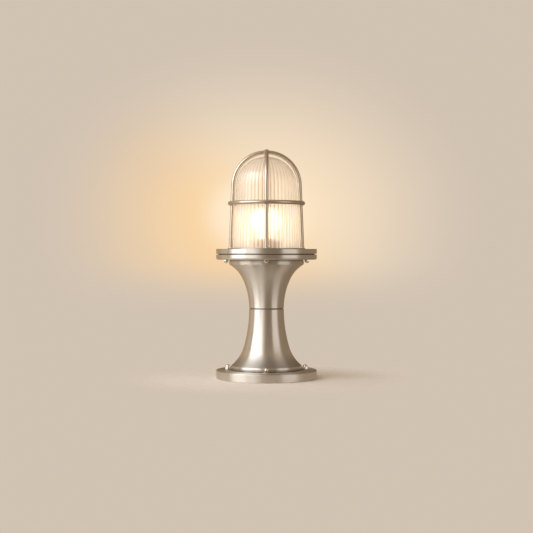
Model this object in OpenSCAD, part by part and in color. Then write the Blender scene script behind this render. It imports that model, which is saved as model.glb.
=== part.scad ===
// Post lantern: a base disc, a waisted column of two castings, a gallery with a fluted globe in a rod guard,
// and a screw-base lamp. Millimetres, +Z up, origin at the centre of the underside.

/* [Ground plate and base] */
// Diameter of the circle that the ground bolt holes lie on
ground_bolt_pcd = 70; // [62:1:76]
// Diameter of a ground bolt hole
ground_bolt_hole_d = 6.6; // [5:0.1:8]
// Thickness of the ground plate
ground_plate_t = 4; // [3:0.5:6]
// Metal left outside the studs on the ground plate
ground_plate_margin = 8.5; // [7:0.5:12]
// Radial gap between the ground plate and its recess
plate_gap = 0.3; // [0.2:0.05:0.6]
// Thickness of the base disc
base_t = 13.8; // [12:0.1:20]
// Metal left round the ground plate's recess in the base disc
base_wall = 9.7; // [6:0.1:16]
// Round on the base disc's upper edge
base_edge_r = 1.5; // [0.5:0.1:3]
// Thread diameter of the studs
stud_d = 5; // [4:0.5:6]
// Width across the flats of a dome nut
dome_nut_af = 8; // [7.5:0.5:10]
// Height of a dome nut
dome_nut_h = 7.5; // [7:0.5:11]
// Height of a dome nut's hexagon
dome_nut_hex_h = 3.5; // [2.5:0.5:5]
// Gap between a dome nut and the foot rim
nut_gap = 1; // [0.8:0.1:3]
// Outside diameter of a dome nut's washer
washer_d = 9.5; // [8.5:0.1:9.8]
// Thickness of a dome nut's washer
washer_t = 1; // [0.6:0.1:1.6]

/* [Column] */
// Height of the lower column
lower_column_h = 96; // [88:0.2:120]
// Diameter of the foot rim
foot_rim_d = 113; // [108:0.5:122]
// Height of the foot rim
foot_rim_h = 6; // [5:0.5:9]
// Slope of the lower flare, from upright, where its two arcs meet
lower_mid_angle = 16; // [12:1:20]
// Slope of the lower flare, from upright, at the foot rim
lower_end_angle = 50.6; // [46:0.2:58]
// Height of the upper column
upper_column_h = 76; // [70:0.5:90]
// Diameter of the upper rim
upper_rim_d = 119; // [114:0.5:126]
// Height of the upper rim
upper_rim_h = 7; // [6:0.5:9]
// Slope of the upper flare, from upright, where its two arcs meet
upper_mid_angle = 25; // [21:1:28]
// Slope of the upper flare, from upright, at the upper rim
upper_end_angle = 59.6; // [54:0.2:66]
// Diameter at the waist
waist_d = 55.2; // [50:0.2:62]
// Wall of the column castings
column_wall = 3; // [2.5:0.1:4]
// Width of the flat face of each rim, from its edge to its bore
rim_land = 10.5; // [10:0.1:12]
// How far a rim swells outside the end of its flare
rim_step = 0.8; // [0.6:0.1:1.5]
// Chamfer on the column's edges at the seams
seam_chamfer = 0.7; // [0.3:0.1:1.2]
// Thickness of the webs that close the castings at the waist
web_t = 6; // [5:0.5:9]
// Diameter of the spigot that centres the upper casting on the lower
spigot_d = 34; // [28:1:38]
// Depth of the spigot's recess
spigot_depth = 2; // [1.5:0.5:3]
// Thickness of the flat seals under the foot, at the waist and over the upper rim
seal_t = 1; // [0.8:0.1:1.6]
// How far those seals lie inside the edge
seal_inset = 1.2; // [0.6:0.1:1.5]
// Thread diameter of the hidden screws in both rims
rim_screw_d = 4; // [3:0.5:5]

/* [Stem] */
// Outside diameter of the stem tube
stem_d = 10; // [9:0.5:12]
// Bore of the stem tube
stem_bore_d = 8; // [7:0.5:8]
// Length of stem below its lower nut
stem_tail = 4; // [2:0.5:8]
// Width across the flats of a stem nut
stem_nut_af = 14; // [14:0.5:18]
// Height of a stem nut
stem_nut_h = 5; // [3.5:0.5:7]
// Outside diameter of a stem washer
stem_washer_d = 22; // [18:0.5:26]
// Thickness of a stem washer
stem_washer_t = 1; // [0.8:0.1:2]

/* [Gallery and guard ring] */
// Metal left outside the flange screws
flange_margin = 15.7; // [12:0.1:20]
// Thickness of the gallery plate
gallery_t = 8; // [7:0.2:11]
// Round on the gallery plate's lower edge
gallery_edge_r = 3; // [1:0.2:4]
// Thickness of the seal between the gallery plate and the guard ring
flange_seal_t = 1.2; // [1:0.1:2.5]
// How far that seal lies inside the edge
flange_seal_inset = 3.6; // [2:0.2:6]
// Thickness of the guard ring
guard_ring_t = 7.7; // [7.2:0.1:10]
// Height of the raised lip on the guard ring
guard_lip_h = 1.4; // [1:0.1:3]
// Width of the raised lip
guard_lip_w = 9; // [8:0.5:11]
// Chamfer on the flanges' sharp edges
flange_chamfer = 0.5; // [0.4:0.1:1.5]
// Thread diameter of the flange screws
flange_screw_d = 5; // [4:0.5:6]
// Width across the flats of a flange screw's head
flange_screw_af = 8; // [7.5:0.5:10]
// Height of a flange screw's head
flange_screw_head_h = 5.6; // [4.5:0.1:7]
// Height of the hexagon of a flange screw's head
flange_screw_hex_h = 2.6; // [1.5:0.1:3.5]
// Length of a flange screw's thread in the guard ring
flange_screw_bite = 4.6; // [3.5:0.1:5]
// Gap between a flange screw's head and the upper rim
flange_screw_gap = 0.8; // [0.6:0.1:3]

/* [Globe] */
// Diameter of the globe's wall at its lip
globe_d = 104; // [98:0.2:108]
// Diameter of the globe where its dome starts
globe_spring_d = 96; // [93:0.5:98]
// Height of the globe
globe_h = 153.4; // [135:0.2:170]
// Thickness of the globe's dome
globe_wall = 3.5; // [3:0.1:4.5]
// Radius of the dome's shoulder
dome_shoulder_r = 47; // [38:1:47]
// Radius of the dome's crown
dome_crown_r = 49; // [49:1:75]
// How far the globe's lip stands out
globe_lip_w = 3.3; // [3:0.1:5]
// Thickness of the globe's lip
globe_lip_t = 3; // [2.5:0.1:3.6]
// Number of flutes inside the globe
flute_count = 48; // [36:2:60]
// Depth of a flute
flute_depth = 0.9; // [0.5:0.1:1.2]
// Gap between the globe and the guard ring's bore
globe_gap = 0.8; // [0.5:0.1:1.2]
// Thickness of the globe's seal
globe_seal_t = 1; // [0.8:0.1:1.4]
// Thickness of the retaining ring under the globe
keep_ring_t = 1.2; // [1:0.1:1.6]
// Width of the retaining ring outside the globe's lip
keep_ring_w = 4.7; // [4.5:0.1:6]
// Width of the retaining ring under the globe's lip
keep_ring_hold = 4; // [3:0.5:6]
// Thread diameter of the retaining ring's screws
keep_screw_d = 2.5; // [2:0.5:3]
// Depth of the retaining ring's screws in the guard ring
keep_screw_bite = 4; // [3:0.2:4.4]

/* [Guard] */
// Diameter of the guard's rods
rod_d = 6.6; // [5:0.2:6.8]
// Gap between the globe and a leg at the foot of the guard
leg_gap = 1.5; // [1.4:0.1:4]
// Depth of a leg's socket below the guard ring's lip
leg_socket = 2.8; // [2:0.1:3]
// Height of the collar round a leg's foot
leg_collar_h = 1; // [1:0.2:4]
// Width of the collar round a leg's foot
leg_collar_w = 0.7; // [0.7:0.1:2]
// Gap between the globe and an arch where the dome starts
arch_gap = 1.4; // [1:0.1:5]
// Gap between the globe's top and the side arch
crown_gap = 3.4; // [3:0.1:8]
// How much higher the front arch passes than the side arch
crown_step = 1.1; // [0.8:0.1:2]
// Height of the hoop above the guard ring
hoop_h = 72.6; // [50:0.2:90]
// How deep the hoop is notched over the legs of the side arch
hoop_lap = 2.4; // [0.8:0.1:2.6]

/* [Lampholder] */
// Height of the lampholder's top above the guard ring's lip
holder_rise = 11.3; // [8:0.1:16]
// Diameter of the lampholder
holder_d = 44; // [42:0.5:46]
// Height of the lampholder's base
holder_base_h = 22; // [21:0.5:24]
// Height of the lampholder's skirt
holder_skirt_h = 30; // [29:0.5:34]
// Wall of the lampholder's base
holder_wall = 3.5; // [3:0.1:4.5]
// Thickness of the floor between the skirt and the base
holder_floor_t = 4; // [3:0.5:5]
// Diameter of the lampholder's threaded bush
bush_d = 16; // [14:0.5:18]
// Length of the bush
bush_h = 10; // [9:0.5:12]
// Wall of the threaded shell
shell_wall = 0.8; // [0.6:0.1:1.2]
// Side of a lampholder terminal
holder_terminal_w = 6; // [5:0.5:6.5]
// Radius at which the lampholder terminals sit
holder_terminal_r = 10; // [9.5:0.5:11]
// Height of the centre contact above the lampholder's floor
contact_h = 1.8; // [1.2:0.1:2.5]

/* [Lamp] */
// Diameter of the lamp's cap
lamp_cap_d = 26.1; // [25:0.1:27]
// Gap between the cap and the threaded shell
lamp_gap = 0.3; // [0.3:0.05:0.5]
// Height of the lamp
lamp_h = 78; // [74:0.5:90]
// Height of the cap, with its tip
lamp_cap_h = 27; // [25:0.5:29]
// Wall of the cap
lamp_cap_wall = 0.6; // [0.4:0.1:0.8]
// Thickness of the tip
lamp_tip_h = 1.6; // [1.2:0.1:2.5]
// Height of the insulator between the tip and the cap
lamp_insulator_h = 5; // [4:0.5:7]
// Diameter of the bulb
bulb_d = 45; // [40:0.5:50]
// Thickness of the bulb
bulb_wall = 1; // [0.8:0.1:1.4]
// Number of filaments
filament_count = 4; // [3:1:6]
// Length of a filament
filament_l = 22; // [16:1:26]

/* [Wiring] */
// Width across the flats of the gland
gland_af = 20; // [19:0.5:23]
// Thread diameter of the gland
gland_thread_d = 16; // [15:0.5:17]
// Bore of the gland
gland_bore_d = 10; // [8:0.5:11]
// Height of the gland's hexagon
gland_hex_h = 5; // [4:0.5:7]
// Thickness of the top of the gland's cap
gland_cap_t = 2; // [1.5:0.5:3]
// Height of the gland's seal
gland_seal_h = 6; // [5:0.5:8]
// Width of the terminal block
block_w = 36; // [34:1:38]
// Depth of the terminal block
block_d = 15; // [13:0.5:16]
// Height of the terminal block
block_h = 16; // [14:0.5:18]
// Spacing of the terminal block's poles
block_pitch = 11; // [10.5:0.1:11.5]
// Distance of the terminal block from the axis
block_y = 27; // [25:0.5:30]
// Diameter of a lead
lead_d = 2.2; // [1.8:0.1:2.4]
// Distance of the earth screw from the axis
earth_r = 30; // [26:0.5:36]
// Thread diameter of the earth screw
earth_screw_d = 5; // [4:0.5:6]

/* [Hidden] */
$fn = 96;
smooth_fn = 240;

// Colours
NICKEL = [0.66, 0.62, 0.56];
STEEL = [0.62, 0.63, 0.64];
BRASS = [0.78, 0.62, 0.30];
RUBBER = [0.09, 0.09, 0.09];
CERAMIC = [0.92, 0.90, 0.85];
GLASS = [0.93, 0.88, 0.76, 0.45];
CAP_METAL = [0.80, 0.80, 0.78];

// Shared fits
fixings = 4;
diagonal = 45;
thread_gap = 0.05;
hole_gap = 0.25;
slip_gap = 0.3;
braze_gap = 0.05;
past = 1;
slot_share = 0.4;

// Base, from the foot rim outwards
foot_r = foot_rim_d / 2;
chamber_r = foot_r - rim_land;
stud_r = stud_d / 2;
stud_ring_r = foot_r + nut_gap + dome_nut_af / 2;
ground_plate_r = stud_ring_r + ground_plate_margin;
base_r = ground_plate_r + plate_gap + base_wall;
foot_screw_ring_r = (foot_r + chamber_r) / 2;
rim_screw_r = rim_screw_d / 2;
rim_screw_head_r = rim_screw_d * 0.95;
rim_screw_head_h = rim_screw_d * 0.55;
dome_step = 0.25;

// Heights, from the ground up
foot_z = base_t + seal_t;
seam_z = foot_z + lower_column_h;
upper_z = seam_z + seal_t;
upper_rim_top_z = upper_z + upper_column_h;
gallery_z = upper_rim_top_z + seal_t;
gallery_top_z = gallery_z + gallery_t;
guard_z = gallery_top_z + flange_seal_t;
guard_top_z = guard_z + guard_ring_t;
guard_lip_z = guard_top_z + guard_lip_h;
globe_z = guard_z + keep_ring_t;
globe_top_z = globe_z + globe_h;
holder_top_z = guard_lip_z + holder_rise;
holder_floor_z = holder_top_z - holder_skirt_h;
holder_z = holder_floor_z - holder_base_h;
tip_z = holder_floor_z + holder_floor_t + contact_h;
hoop_z = guard_top_z + hoop_h;

// Column
waist_r = waist_d / 2;
upper_r = upper_rim_d / 2;
spigot_r = spigot_d / 2;
upper_bore_r = upper_r - rim_land;
rim_ledge = 0.2;
arc_step = 0.02;
rim_screw_ring_r = (upper_r + upper_bore_r) / 2;
rim_screw_bite = upper_rim_h * 0.85;
foot_screw_bite = foot_rim_h * 0.7;
stem_r = stem_d / 2;
stem_z = seam_z - web_t - stem_washer_t - stem_nut_h - stem_tail;
stem_top_z = holder_z + bush_h / 2;

// Guard ring and globe
globe_r = globe_d / 2;
spring_r = globe_spring_d / 2;
globe_lip_r = globe_r + globe_lip_w;
keep_ring_r = globe_lip_r + keep_ring_w;
keep_screw_ring_r = globe_lip_r + keep_ring_w / 2;
keep_screw_head_h = keep_ring_t * 0.9;
keep_screw_head_r = keep_screw_d * 0.85;
guard_bore_r = globe_r + globe_gap;
globe_recess_r = globe_lip_r + slip_gap;
keep_recess_r = keep_ring_r + slip_gap;
globe_recess_z = globe_z + globe_lip_t + globe_seal_t;
flange_hole_r = flange_screw_d / 2 + slip_gap;
recess_wall = 1.1;
flange_screw_ring_r = max(upper_r + flange_screw_gap + flange_screw_af / 2,
                          keep_recess_r + recess_wall + flange_hole_r);
flange_r = flange_screw_ring_r + flange_margin;
flange_hole_over = 0.5;
flange_hole_h = flange_screw_bite + flange_hole_over;
crown_z = globe_top_z - dome_crown_r;
shoulder_r = spring_r - dome_shoulder_r;
shoulder_z = crown_z + sqrt(pow(dome_crown_r - dome_shoulder_r, 2) - pow(shoulder_r, 2));
crown_angle = atan2(shoulder_z - crown_z, shoulder_r);
flute_run_out = 0.3;
globe_bore_r = spring_r - globe_wall + flute_run_out;
dome_steps = 12;
flute_pitch = 360 / flute_count;
flute_share = 0.92;
flute_half_w = globe_bore_r * sin(flute_pitch / 2) * flute_share;
flute_r = (pow(flute_half_w, 2) + pow(flute_depth, 2)) / (2 * flute_depth);

// Guard rods: each leg runs straight from its socket into its arch
bend_draw = 0.05;
leg_lap = 1;
rod_r = rod_d / 2;
leg_r = globe_r + leg_gap + rod_r;
side_arch_r = spring_r + arch_gap + rod_r;
front_arch_r = side_arch_r + crown_step;
arch_z = globe_top_z + crown_gap + rod_r - side_arch_r;
leg_z = guard_lip_z - leg_socket;
function leg_reach() = norm([leg_r, arch_z - leg_z]);
function leg_tilt(arch_r) = acos(arch_r / leg_reach()) - atan2(arch_z - leg_z, leg_r);
function leg_length(arch_r) = sqrt(pow(leg_reach(), 2) - pow(arch_r, 2));
hoop_leg_r = leg_r - (hoop_z - leg_z) * tan(leg_tilt(side_arch_r));
hoop_r = hoop_leg_r + rod_d - hoop_lap;

// Lampholder and lamp
holder_r = holder_d / 2;
bush_r = bush_d / 2;
bush_flange_w = 2.5;
bush_flange_r = bush_r + bush_flange_w;
bush_flange_h = 2;
bush_top_z = holder_z + bush_h;
holder_terminal_z = holder_floor_z - holder_terminal_w;
lamp_cap_r = lamp_cap_d / 2;
shell_r = lamp_cap_r + lamp_gap;
shell_out_r = shell_r + shell_wall;
shell_z = holder_floor_z + holder_floor_t;
shell_sink = 1;
shell_tab_w = 3;
contact_r = 5;
rivet_r = 1.4;
rivet_tail = 2;
tip_r = 4.5;
tip_pin_r = 1.5;
tip_pin_h = 2;
bulb_r = bulb_d / 2;
bulb_z = tip_z + lamp_h - bulb_r;
cap_z = tip_z + lamp_tip_h + lamp_insulator_h;
cap_top_z = tip_z + lamp_cap_h;
neck_r = lamp_cap_r - lamp_cap_wall - hole_gap;
neck_lap = 4;
mount_r = 2.5;
mount_foot_h = 1.5;
mount_flare_w = 1;
mount_flare_h = 12;
mount_taper_h = 2;
mount_h = bulb_z + filament_l / 2 - cap_top_z + neck_lap;
filament_end = 2;
mount_foot_r = neck_r - bulb_wall - hole_gap;
filament_r = 1.1;
filament_ring_r = 8;
filament_wire_r = 0.4;

// Wiring
earth_head_r = earth_screw_d * 0.9;
earth_head_h = earth_screw_d * 0.5;
earth_washer_w = 1;
earth_lead_y = earth_head_r * 0.58;
earth_head_z = ground_plate_t + 2 * washer_t;
gland_bore_r = gland_bore_d / 2;
gland_thread_r = gland_thread_d / 2;
gland_neck_h = 8;
gland_slack = 0.6;
gland_seal_wall = 1.4;
gland_seal_r = gland_bore_r + gland_slack + gland_seal_wall;
block_top_z = ground_plate_t + block_h;
block_screw_r = 1.5;
barrier_slot_w = 2;
barrier_slot_d = 3;
pole_screw_r = 2;
POLES = [-block_pitch, 0, block_pitch];
lead_r = lead_d / 2;
lead_bite = 6;
lead_sides = 8;
lead_steps = 4;
lead_off = stem_bore_d / 5;
lead_straight = 3;
lead_run_z = (bush_top_z + holder_terminal_z) / 2;

// Way of a lead from a pole at x, up through the stem, to the lampholder's terminal on one side
function supply_route(x, side) =
    let (from = [x, block_y, block_top_z + lead_straight], to = [side * lead_off, 0, stem_z], gap = to - from)
    [[x, block_y, block_top_z - lead_bite + past],
     [x, block_y, block_top_z - past],
     from,
     from + [gap[0] * 0.15, gap[1] * 0.2, gap[2] * 0.27],
     from + [gap[0] * 0.5, gap[1] * 0.56, gap[2] * 0.55],
     from + [gap[0] * 0.88, gap[1] * 0.87, gap[2] * 0.81],
     to,
     [side * lead_off, 0, (stem_z + stem_top_z) / 2],
     [side * lead_off, 0, stem_top_z],
     [side * (lead_off + lead_r), 0, bush_top_z + lead_r / 2],
     [side * (lead_off + holder_terminal_r) / 2, 0, lead_run_z],
     [side * (holder_terminal_r - lead_r / 3), 0, lead_run_z + lead_r],
     [side * holder_terminal_r, 0, holder_terminal_z + lead_r / 2],
     [side * holder_terminal_r, 0, holder_floor_z - 2 * past]];

// Way of the earth lead from its pole to the earth screw
function earth_route(x) =
    let (from = [x, block_y, block_top_z + lead_straight],
         to = [-earth_r, earth_lead_y, earth_head_z + earth_head_h + lead_straight],
         gap = to - from)
    [[x, block_y, block_top_z - lead_bite + past],
     [x, block_y, block_top_z - past],
     from,
     from + [gap[0] * 0.3, gap[1] * 0.3, 2 * lead_straight],
     from + [gap[0] * 0.7, gap[1] * 0.7, lead_straight],
     to,
     [-earth_r, earth_lead_y, earth_head_z + earth_head_h / 2],
     [-earth_r, earth_lead_y, earth_head_z]];

// Shape helpers

// Copies on a ring
module around(count, ring_r, start = 0) {
    for (i = [0 : count - 1])
        rotate(start + i * 360 / count)
            translate([ring_r, 0, 0])
                children();
}

// Flat ring
module ring(outer_r, inner_r, h) {
    difference() {
        cylinder(r = outer_r, h = h);
        translate([0, 0, -past])
            cylinder(r = inner_r, h = h + 2 * past);
    }
}

// Hexagon with flats facing along X
module hexagon(af, h) {
    rotate(30)
        cylinder(d = af / cos(30), h = h, $fn = 6);
}

// Hexagon whose upper corners are turned off
module turned_hexagon(af, h) {
    corner_r = af / 2 / cos(30);
    intersection() {
        hexagon(af, h);
        rotate_extrude()
            polygon([[0, 0], [corner_r, 0], [corner_r, h - (corner_r - af / 2)], [af / 2 - thread_gap, h],
                     [0, h]]);
    }
}

// Hexagon with a dome over it, as on a dome nut
module domed_hexagon(af, hex_h, h) {
    r = min(af / 2, h) - dome_step;
    turned_hexagon(af, hex_h);
    rotate_extrude()
        union() {
            square([r, h - r]);
            translate([0, h - r])
                intersection() {
                    circle(r = r);
                    square(r);
                }
        }
}

// Countersunk screw, head up, its head's face at the origin
module countersunk(d, head_r, head_h, l) {
    rotate_extrude()
        polygon([[0, 0], [head_r, 0], [d / 2, -head_h], [d / 2, -l], [0, -l]]);
}

// The hole for a countersunk screw
module countersink(d, head_r, head_h, l, gap) {
    rotate_extrude()
        polygon([[0, past], [head_r + gap, past], [head_r + gap, 0], [d / 2 + gap, -head_h], [d / 2 + gap, -l],
                 [0, -l]]);
}

// Cross slot in a screw's head
module cross_slot(w, l, depth) {
    for (turn = [0, 90])
        rotate(turn)
            translate([-l / 2, -w / 2, -depth])
                cube([l, w, depth + past]);
}

// Slot across the face of a screw that points along +Z from the origin
module slot(screw_r) {
    w = slot_share * screw_r;
    translate([-screw_r - past, -w / 2, -past])
        cube([2 * (screw_r + past), w, past + w]);
}

// Tangent arcs of a flare that opens by rise over a height: the upper and lower radius
function flare_arcs(rise, h, mid, end) =
    let (a = 1 - cos(mid), b = cos(mid) - cos(end), c = sin(mid), d = sin(end) - sin(mid), det = a * d - b * c)
    [(rise * d - h * b) / det, (a * h - c * rise) / det];

// Half section of the solid inside a flare, or inside its wall; the arcs meet at a hair's step
module flare_area(neck_r, h, arcs, mid, wall) {
    first = [neck_r + arcs[0], 0];
    second = first + (arcs[1] - arcs[0]) * [cos(mid), -sin(mid)];
    split = (arcs[0] + wall) * sin(mid);
    difference() {
        square([neck_r + arcs[0] / 4, split]);
        translate(first)
            circle(r = arcs[0] + wall, $fn = smooth_fn);
    }
    difference() {
        translate([0, split])
            square([second[0], h - split]);
        translate(second)
            circle(r = arcs[1] + wall + arc_step, $fn = smooth_fn);
    }
}

// Corner to take off a square edge at [r, z]; up is 1 for an upper edge and -1 for a lower one
module edge_cut(r, z, size, up) {
    polygon([[r - size, z + up * past], [r + past, z + up * past], [r + past, z - up * size - up * past],
             [r, z - up * size], [r - size, z]]);
}

// Half section of a rim whose outer face swells to its full radius half way up
module rim_area(r, h) {
    swell_r = (pow(h / 2, 2) + pow(rim_step, 2)) / (2 * rim_step);
    square([r - rim_step + rim_ledge, h]);
    intersection() {
        translate([r - swell_r, h / 2])
            circle(r = swell_r, $fn = smooth_fn);
        square([r + past, h]);
    }
}

// One column casting, its waist face at the origin and its rim upwards
module column_casting(h, rim_r, rim_h, bore_r, mid, end) {
    flare_h = h - rim_h;
    arcs = flare_arcs(rim_r - rim_step - waist_r, flare_h, mid, end);
    rotate_extrude($fn = smooth_fn)
        difference() {
            union() {
                flare_area(waist_r, flare_h, arcs, mid, 0);
                translate([0, flare_h])
                    rim_area(rim_r, rim_h);
            }
            intersection() {
                union() {
                    flare_area(waist_r, flare_h, arcs, mid, column_wall);
                    translate([0, flare_h])
                        square([bore_r, rim_h + past]);
                }
                translate([0, web_t])
                    square([bore_r, h]);
            }
            square([stem_r + hole_gap, web_t + past]);
            edge_cut(waist_r, 0, seam_chamfer, -1);
        }
}

// A leg in the XZ plane on the +X side; it runs a little way into its arch
module leg_rod(arch_r, gap, lap) {
    translate([leg_r, 0, leg_z])
        rotate([0, -leg_tilt(arch_r), 0])
            cylinder(r = rod_r + gap, h = leg_length(arch_r) + lap);
}

// Arch rod over the +X leg, from one angle to another; bending draws it a little thinner
module arch_rod(arch_r, from, to) {
    translate([0, 0, arch_z])
        rotate([90, 0, 0])
            rotate(from)
                rotate_extrude(angle = to - from, $fn = smooth_fn)
                    translate([arch_r, 0])
                        circle(r = rod_r - bend_draw);
}

// The four legs alone, with a gap round them
module leg_rods(gap, arch_radii) {
    for (i = [0 : fixings - 1])
        rotate(i * 90)
            leg_rod(arch_radii[i % 2], gap, 0);
}

// Points along a route, smoothed
function route_point(p, i, t) =
    let (a = p[max(i - 1, 0)], b = p[i], c = p[i + 1], d = p[min(i + 2, len(p) - 1)])
    0.5 * (2 * b + (c - a) * t + (2 * a - 5 * b + 4 * c - d) * t * t + (3 * b - a - 3 * c + d) * t * t * t);
function route(p) =
    concat([for (i = [0 : len(p) - 2], s = [0 : lead_steps - 1]) route_point(p, i, s / lead_steps)],
           [p[len(p) - 1]]);
function unit(v) = v / norm(v);

// Round lead along a route; side is a direction that the route never runs along
module lead(points, side) {
    path = route(points);
    last = len(path) - 1;
    rings = [
        for (i = [0 : last])
            let (along = unit(path[min(i + 1, last)] - path[max(i - 1, 0)]),
                 across = unit(cross(along, side)),
                 up = cross(across, along))
            for (k = [0 : lead_sides - 1])
                path[i] + lead_r * (cos(k * 360 / lead_sides) * across + sin(k * 360 / lead_sides) * up)
    ];
    walls = [
        for (i = [0 : last - 1], k = [0 : lead_sides - 1])
            let (a = i * lead_sides + k, b = i * lead_sides + (k + 1) % lead_sides)
            each [[a, a + lead_sides, b], [b, a + lead_sides, b + lead_sides]]
    ];
    start_cap = [for (k = [1 : lead_sides - 2]) [0, k, k + 1]];
    tail = last * lead_sides;
    end_cap = [for (k = [1 : lead_sides - 2]) [tail, tail + k + 1, tail + k]];
    polyhedron(rings, concat(walls, start_cap, end_cap));
}

// Ground plate and base

module ground_plate() {
    color(STEEL)
        difference() {
            cylinder(r = ground_plate_r, h = ground_plate_t);
            translate([0, 0, -past])
                cylinder(r = gland_thread_r + thread_gap, h = ground_plate_t + 2 * past);
            around(fixings, ground_bolt_pcd / 2, diagonal)
                translate([0, 0, -past])
                    cylinder(d = ground_bolt_hole_d, h = ground_plate_t + 2 * past);
            around(fixings, stud_ring_r)
                translate([0, 0, -past])
                    cylinder(r = stud_r + thread_gap, h = ground_plate_t + 2 * past);
            for (side = [-1, 1])
                translate([side * block_pitch / 2, block_y, -past])
                    cylinder(r = block_screw_r + thread_gap, h = ground_plate_t + 2 * past);
            translate([-earth_r, 0, -past])
                cylinder(r = earth_screw_d / 2 + thread_gap, h = ground_plate_t + 2 * past);
        }
}

module ground_studs() {
    color(STEEL)
        around(fixings, stud_ring_r)
            cylinder(r = stud_r, h = base_t + washer_t + dome_nut_h * 0.7);
}

module base_disc() {
    color(NICKEL)
        difference() {
            rotate_extrude($fn = smooth_fn)
                difference() {
                    union() {
                        square([base_r, base_t - base_edge_r]);
                        square([base_r - base_edge_r, base_t]);
                        translate([base_r - base_edge_r, base_t - base_edge_r])
                            circle(r = base_edge_r);
                    }
                    translate([0, -past])
                        square([ground_plate_r + plate_gap, ground_plate_t + past]);
                    square([chamber_r, base_t + past]);
                    edge_cut(base_r, 0, seam_chamfer, -1);
                }
            around(fixings, stud_ring_r)
                cylinder(r = stud_r + hole_gap, h = base_t + past);
            around(fixings, foot_screw_ring_r, diagonal)
                translate([0, 0, ground_plate_t])
                    rotate([180, 0, 0])
                        countersink(rim_screw_d, rim_screw_head_r, rim_screw_head_h, base_t, hole_gap);
        }
}

module dome_nut_washers() {
    color(STEEL)
        around(fixings, stud_ring_r)
            translate([0, 0, base_t])
                ring(washer_d / 2, stud_r + hole_gap, washer_t);
}

module dome_nuts() {
    color(NICKEL)
        around(fixings, stud_ring_r)
            translate([0, 0, base_t + washer_t])
                difference() {
                    domed_hexagon(dome_nut_af, dome_nut_hex_h, dome_nut_h);
                    translate([0, 0, -past])
                        cylinder(r = stud_r + thread_gap, h = dome_nut_h * 0.75 + past);
                }
}

module base_seal() {
    color(RUBBER)
        translate([0, 0, base_t])
            difference() {
                ring(foot_r - seal_inset, chamber_r, seal_t);
                around(fixings, foot_screw_ring_r, diagonal)
                    translate([0, 0, -past])
                        cylinder(r = rim_screw_r + hole_gap, h = seal_t + 2 * past);
            }
}

module foot_screws() {
    color(STEEL)
        around(fixings, foot_screw_ring_r, diagonal)
            translate([0, 0, ground_plate_t])
                rotate([180, 0, 0])
                    difference() {
                        countersunk(rim_screw_d, rim_screw_head_r, rim_screw_head_h,
                                    foot_z - ground_plate_t + foot_screw_bite - hole_gap);
                        cross_slot(rim_screw_d * 0.2, rim_screw_d, rim_screw_head_h / 2);
                    }
}

// Cable gland and terminal block

module gland_body() {
    color(BRASS)
        difference() {
            union() {
                cylinder(r = gland_thread_r, h = ground_plate_t + gland_hex_h + gland_neck_h);
                translate([0, 0, ground_plate_t])
                    hexagon(gland_af, gland_hex_h);
            }
            translate([0, 0, -past])
                cylinder(r = gland_bore_r, h = ground_plate_t + gland_hex_h + gland_neck_h + 2 * past);
        }
}

module gland_seal() {
    color(RUBBER)
        translate([0, 0, ground_plate_t + gland_hex_h + gland_neck_h])
            ring(gland_seal_r, gland_bore_r + gland_slack, gland_seal_h);
}

module gland_cap() {
    inner_h = gland_neck_h + gland_seal_h;
    h = inner_h + gland_cap_t;
    corner_r = gland_af / 2 / cos(30);
    color(BRASS)
        translate([0, 0, ground_plate_t + gland_hex_h])
            difference() {
                intersection() {
                    hexagon(gland_af, h);
                    rotate_extrude()
                        polygon([[0, hole_gap], [corner_r, hole_gap], [corner_r, gland_neck_h],
                                 [gland_seal_r + gland_cap_t, h], [0, h]]);
                }
                cylinder(r = gland_thread_r + thread_gap, h = gland_neck_h + hole_gap);
                cylinder(r = gland_seal_r + thread_gap, h = inner_h);
                cylinder(r = gland_bore_r + gland_slack, h = h + past);
            }
}

module terminal_block() {
    color(CERAMIC)
        difference() {
            translate([-block_w / 2, block_y - block_d / 2, ground_plate_t])
                cube([block_w, block_d, block_h]);
            for (x = POLES) {
                translate([x, block_y, block_top_z - lead_bite])
                    cylinder(r = lead_r + hole_gap, h = lead_bite + past);
                translate([x, block_y - block_d / 2 - past, block_top_z - lead_bite / 2])
                    rotate([-90, 0, 0])
                        cylinder(r = pole_screw_r + thread_gap, h = block_d / 2 + past);
            }
            for (side = [-1, 1])
                translate([side * block_pitch / 2, block_y, block_top_z])
                    countersink(2 * block_screw_r, 2 * block_screw_r, block_screw_r, block_h + past,
                                thread_gap);
            for (side = [-1, 1])
                translate([side * block_pitch / 2, block_y - block_d / 2, ground_plate_t + block_h / 2])
                    cube([barrier_slot_w, barrier_slot_d, block_h + past], center = true);
        }
}

module terminal_screws() {
    color(BRASS)
        for (x = POLES)
            translate([x, block_y - block_d / 2 - past, block_top_z - lead_bite / 2])
                rotate([-90, 0, 0])
                    difference() {
                        cylinder(r = pole_screw_r, h = block_d / 2 + past - lead_r - thread_gap);
                        slot(pole_screw_r);
                    }
}

module block_screws() {
    color(STEEL)
        for (side = [-1, 1])
            translate([side * block_pitch / 2, block_y, block_top_z])
                difference() {
                    countersunk(2 * block_screw_r, 2 * block_screw_r, block_screw_r,
                                block_h + ground_plate_t - hole_gap);
                    cross_slot(slot_share * block_screw_r, 3 * block_screw_r, block_screw_r / 2);
                }
}

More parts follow.
